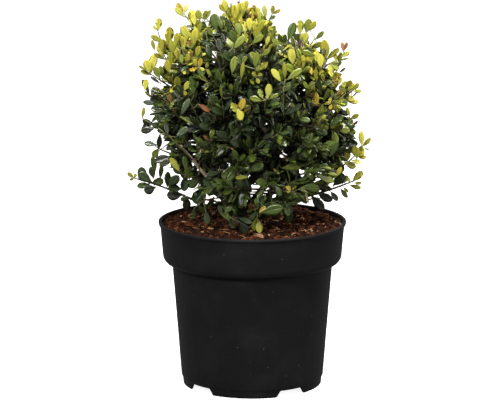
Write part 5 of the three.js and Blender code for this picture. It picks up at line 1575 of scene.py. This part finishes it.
# true for leaves that stay: in reach, above the compost and the rim, inside the outline, clear of the sky,
# and not in front of the leaves that have to show
def leavesKept(leaves, shownFeet, shownAxes):
    base, axis = leaves["base"], leaves["frames"][:, 0]
    tip = base + axis * leaf["length"]
    half = leaf["halfWidth"] * np.linalg.norm(axis, axis=1)[:, None]
    keep = (depthOf(tip) < leaf["reach"]) & (tip[:, 2] > lowestAt(tip) - leaf["hangs"])
    keep &= inOutline(mix(base, tip, leaf["showing"])) & clearOfSky(base, tip, half)
    for share in leaf["testedAt"]:
        keep &= ~hidesSingles(mix(base, tip, share), shownFeet, shownAxes)
    return keep


# leaves as pieces by tint, each shape in turn, with finer meshes outside the crown than inside it
def buildLeaves(base, frames, shade, fine, form):
    for number, (name, (colour, gloss, slot)) in enumerate(tints.items()):
        materials = leafMaterials(name, colour, gloss)
        mine = np.flatnonzero(shade == number)
        for part in range(0, len(mine), leaf["inPiece"]):
            chosen = mine[part:part + leaf["inPiece"]]
            shapes = []
            for k, bends in enumerate(leaf["shapes"]):
                for close, mesh in ((True, "fine"), (False, "plain")):
                    some = chosen[(form[chosen] == k) & (fine[chosen] == close)]
                    shapes.append(strewn(leafShape(*leaf[mesh], *bends), frames[some], base[some]))
            ending = str(part // leaf["inPiece"] + 1) if part else ""
            addPiece(name + ending, joined(shapes), materials, foliageNames, "leaf")


# the dry leaf that hangs at the front right
def buildDeadLeaf(foot, axis):
    side = unit(np.cross(deadLeaf["face"], axis))
    hung = np.stack([axis, side, np.cross(axis, side)])[None] * deadLeaf["size"]
    shape = leafShape(*leaf["fine"], deadLeaf["cup"], deadLeaf["bend"], deadLeaf["slim"])
    materials = leafMaterials("deadLeaf", deadLeaf["colour"], 0)
    addPiece("deadLeaf", strewn(shape, hung, foot), materials, foliageNames, "leaf")


# twigs first, then the leaves they bear with the picked ones and the buds, and the dry leaf last
def buildFoliage():
    stems, shoots, sprays, inner = growTwigs()
    singleFoot, singleFrames, singleTint, singleTwigs = growSingles()
    deadFoot = fromPhoto([deadLeaf["foot"]], float(deadLeaf["depth"]))
    deadAxis = unit(np.array(deadLeaf["way"]))
    buildTwigs(stems, shoots, sprays, inner, singleTwigs, np.concatenate([singleFoot, deadFoot]))

    leafy = np.concatenate([shoots, sprays, inner], 1)
    inside = np.arange(leafy.shape[1]) >= shoots.shape[1] + sprays.shape[1]
    leaves = growLeaves(leafy)
    bright = singleTint >= singles["clearFrom"]
    shownAxes = np.concatenate([singleFrames[bright, 0], deadAxis[None] * deadLeaf["size"]]) * leaf["length"]
    keep = leavesKept(leaves, np.concatenate([singleFoot[bright], deadFoot]), shownAxes)
    shade = np.concatenate([leafTints(leaves, leafy[2], inside)[keep], singleTint])
    print("leaves:", len(shade), "on", leafy.shape[1], "twigs; tints", np.bincount(shade))

    budding = np.random.default_rng(seeds["budding"]).uniform(0, 1, leafy.shape[1]) < buds["share"]
    budPlaces, budFrames = growBuds(leafy, budding & ~inside)
    clear = inOutline(budPlaces)
    count, lastForm = clear.sum(), len(leaf["shapes"]) - 1
    form = np.concatenate([np.arange(len(shade)) % len(leaf["shapes"]), np.full(count, lastForm)])
    fine = [~inside[leaves["owner"]][keep], np.full(len(singleFoot), True), np.full(count, False)]
    shade = np.concatenate([shade, np.full(count, len(tints) - 1)])
    base = np.concatenate([leaves["base"][keep], singleFoot, budPlaces[clear]])
    frames = np.concatenate([leaves["frames"][keep], singleFrames, budFrames[clear]])
    buildLeaves(base, frames, shade, np.concatenate(fine), form)
    buildDeadLeaf(deadFoot, deadAxis)


buildFoliage()
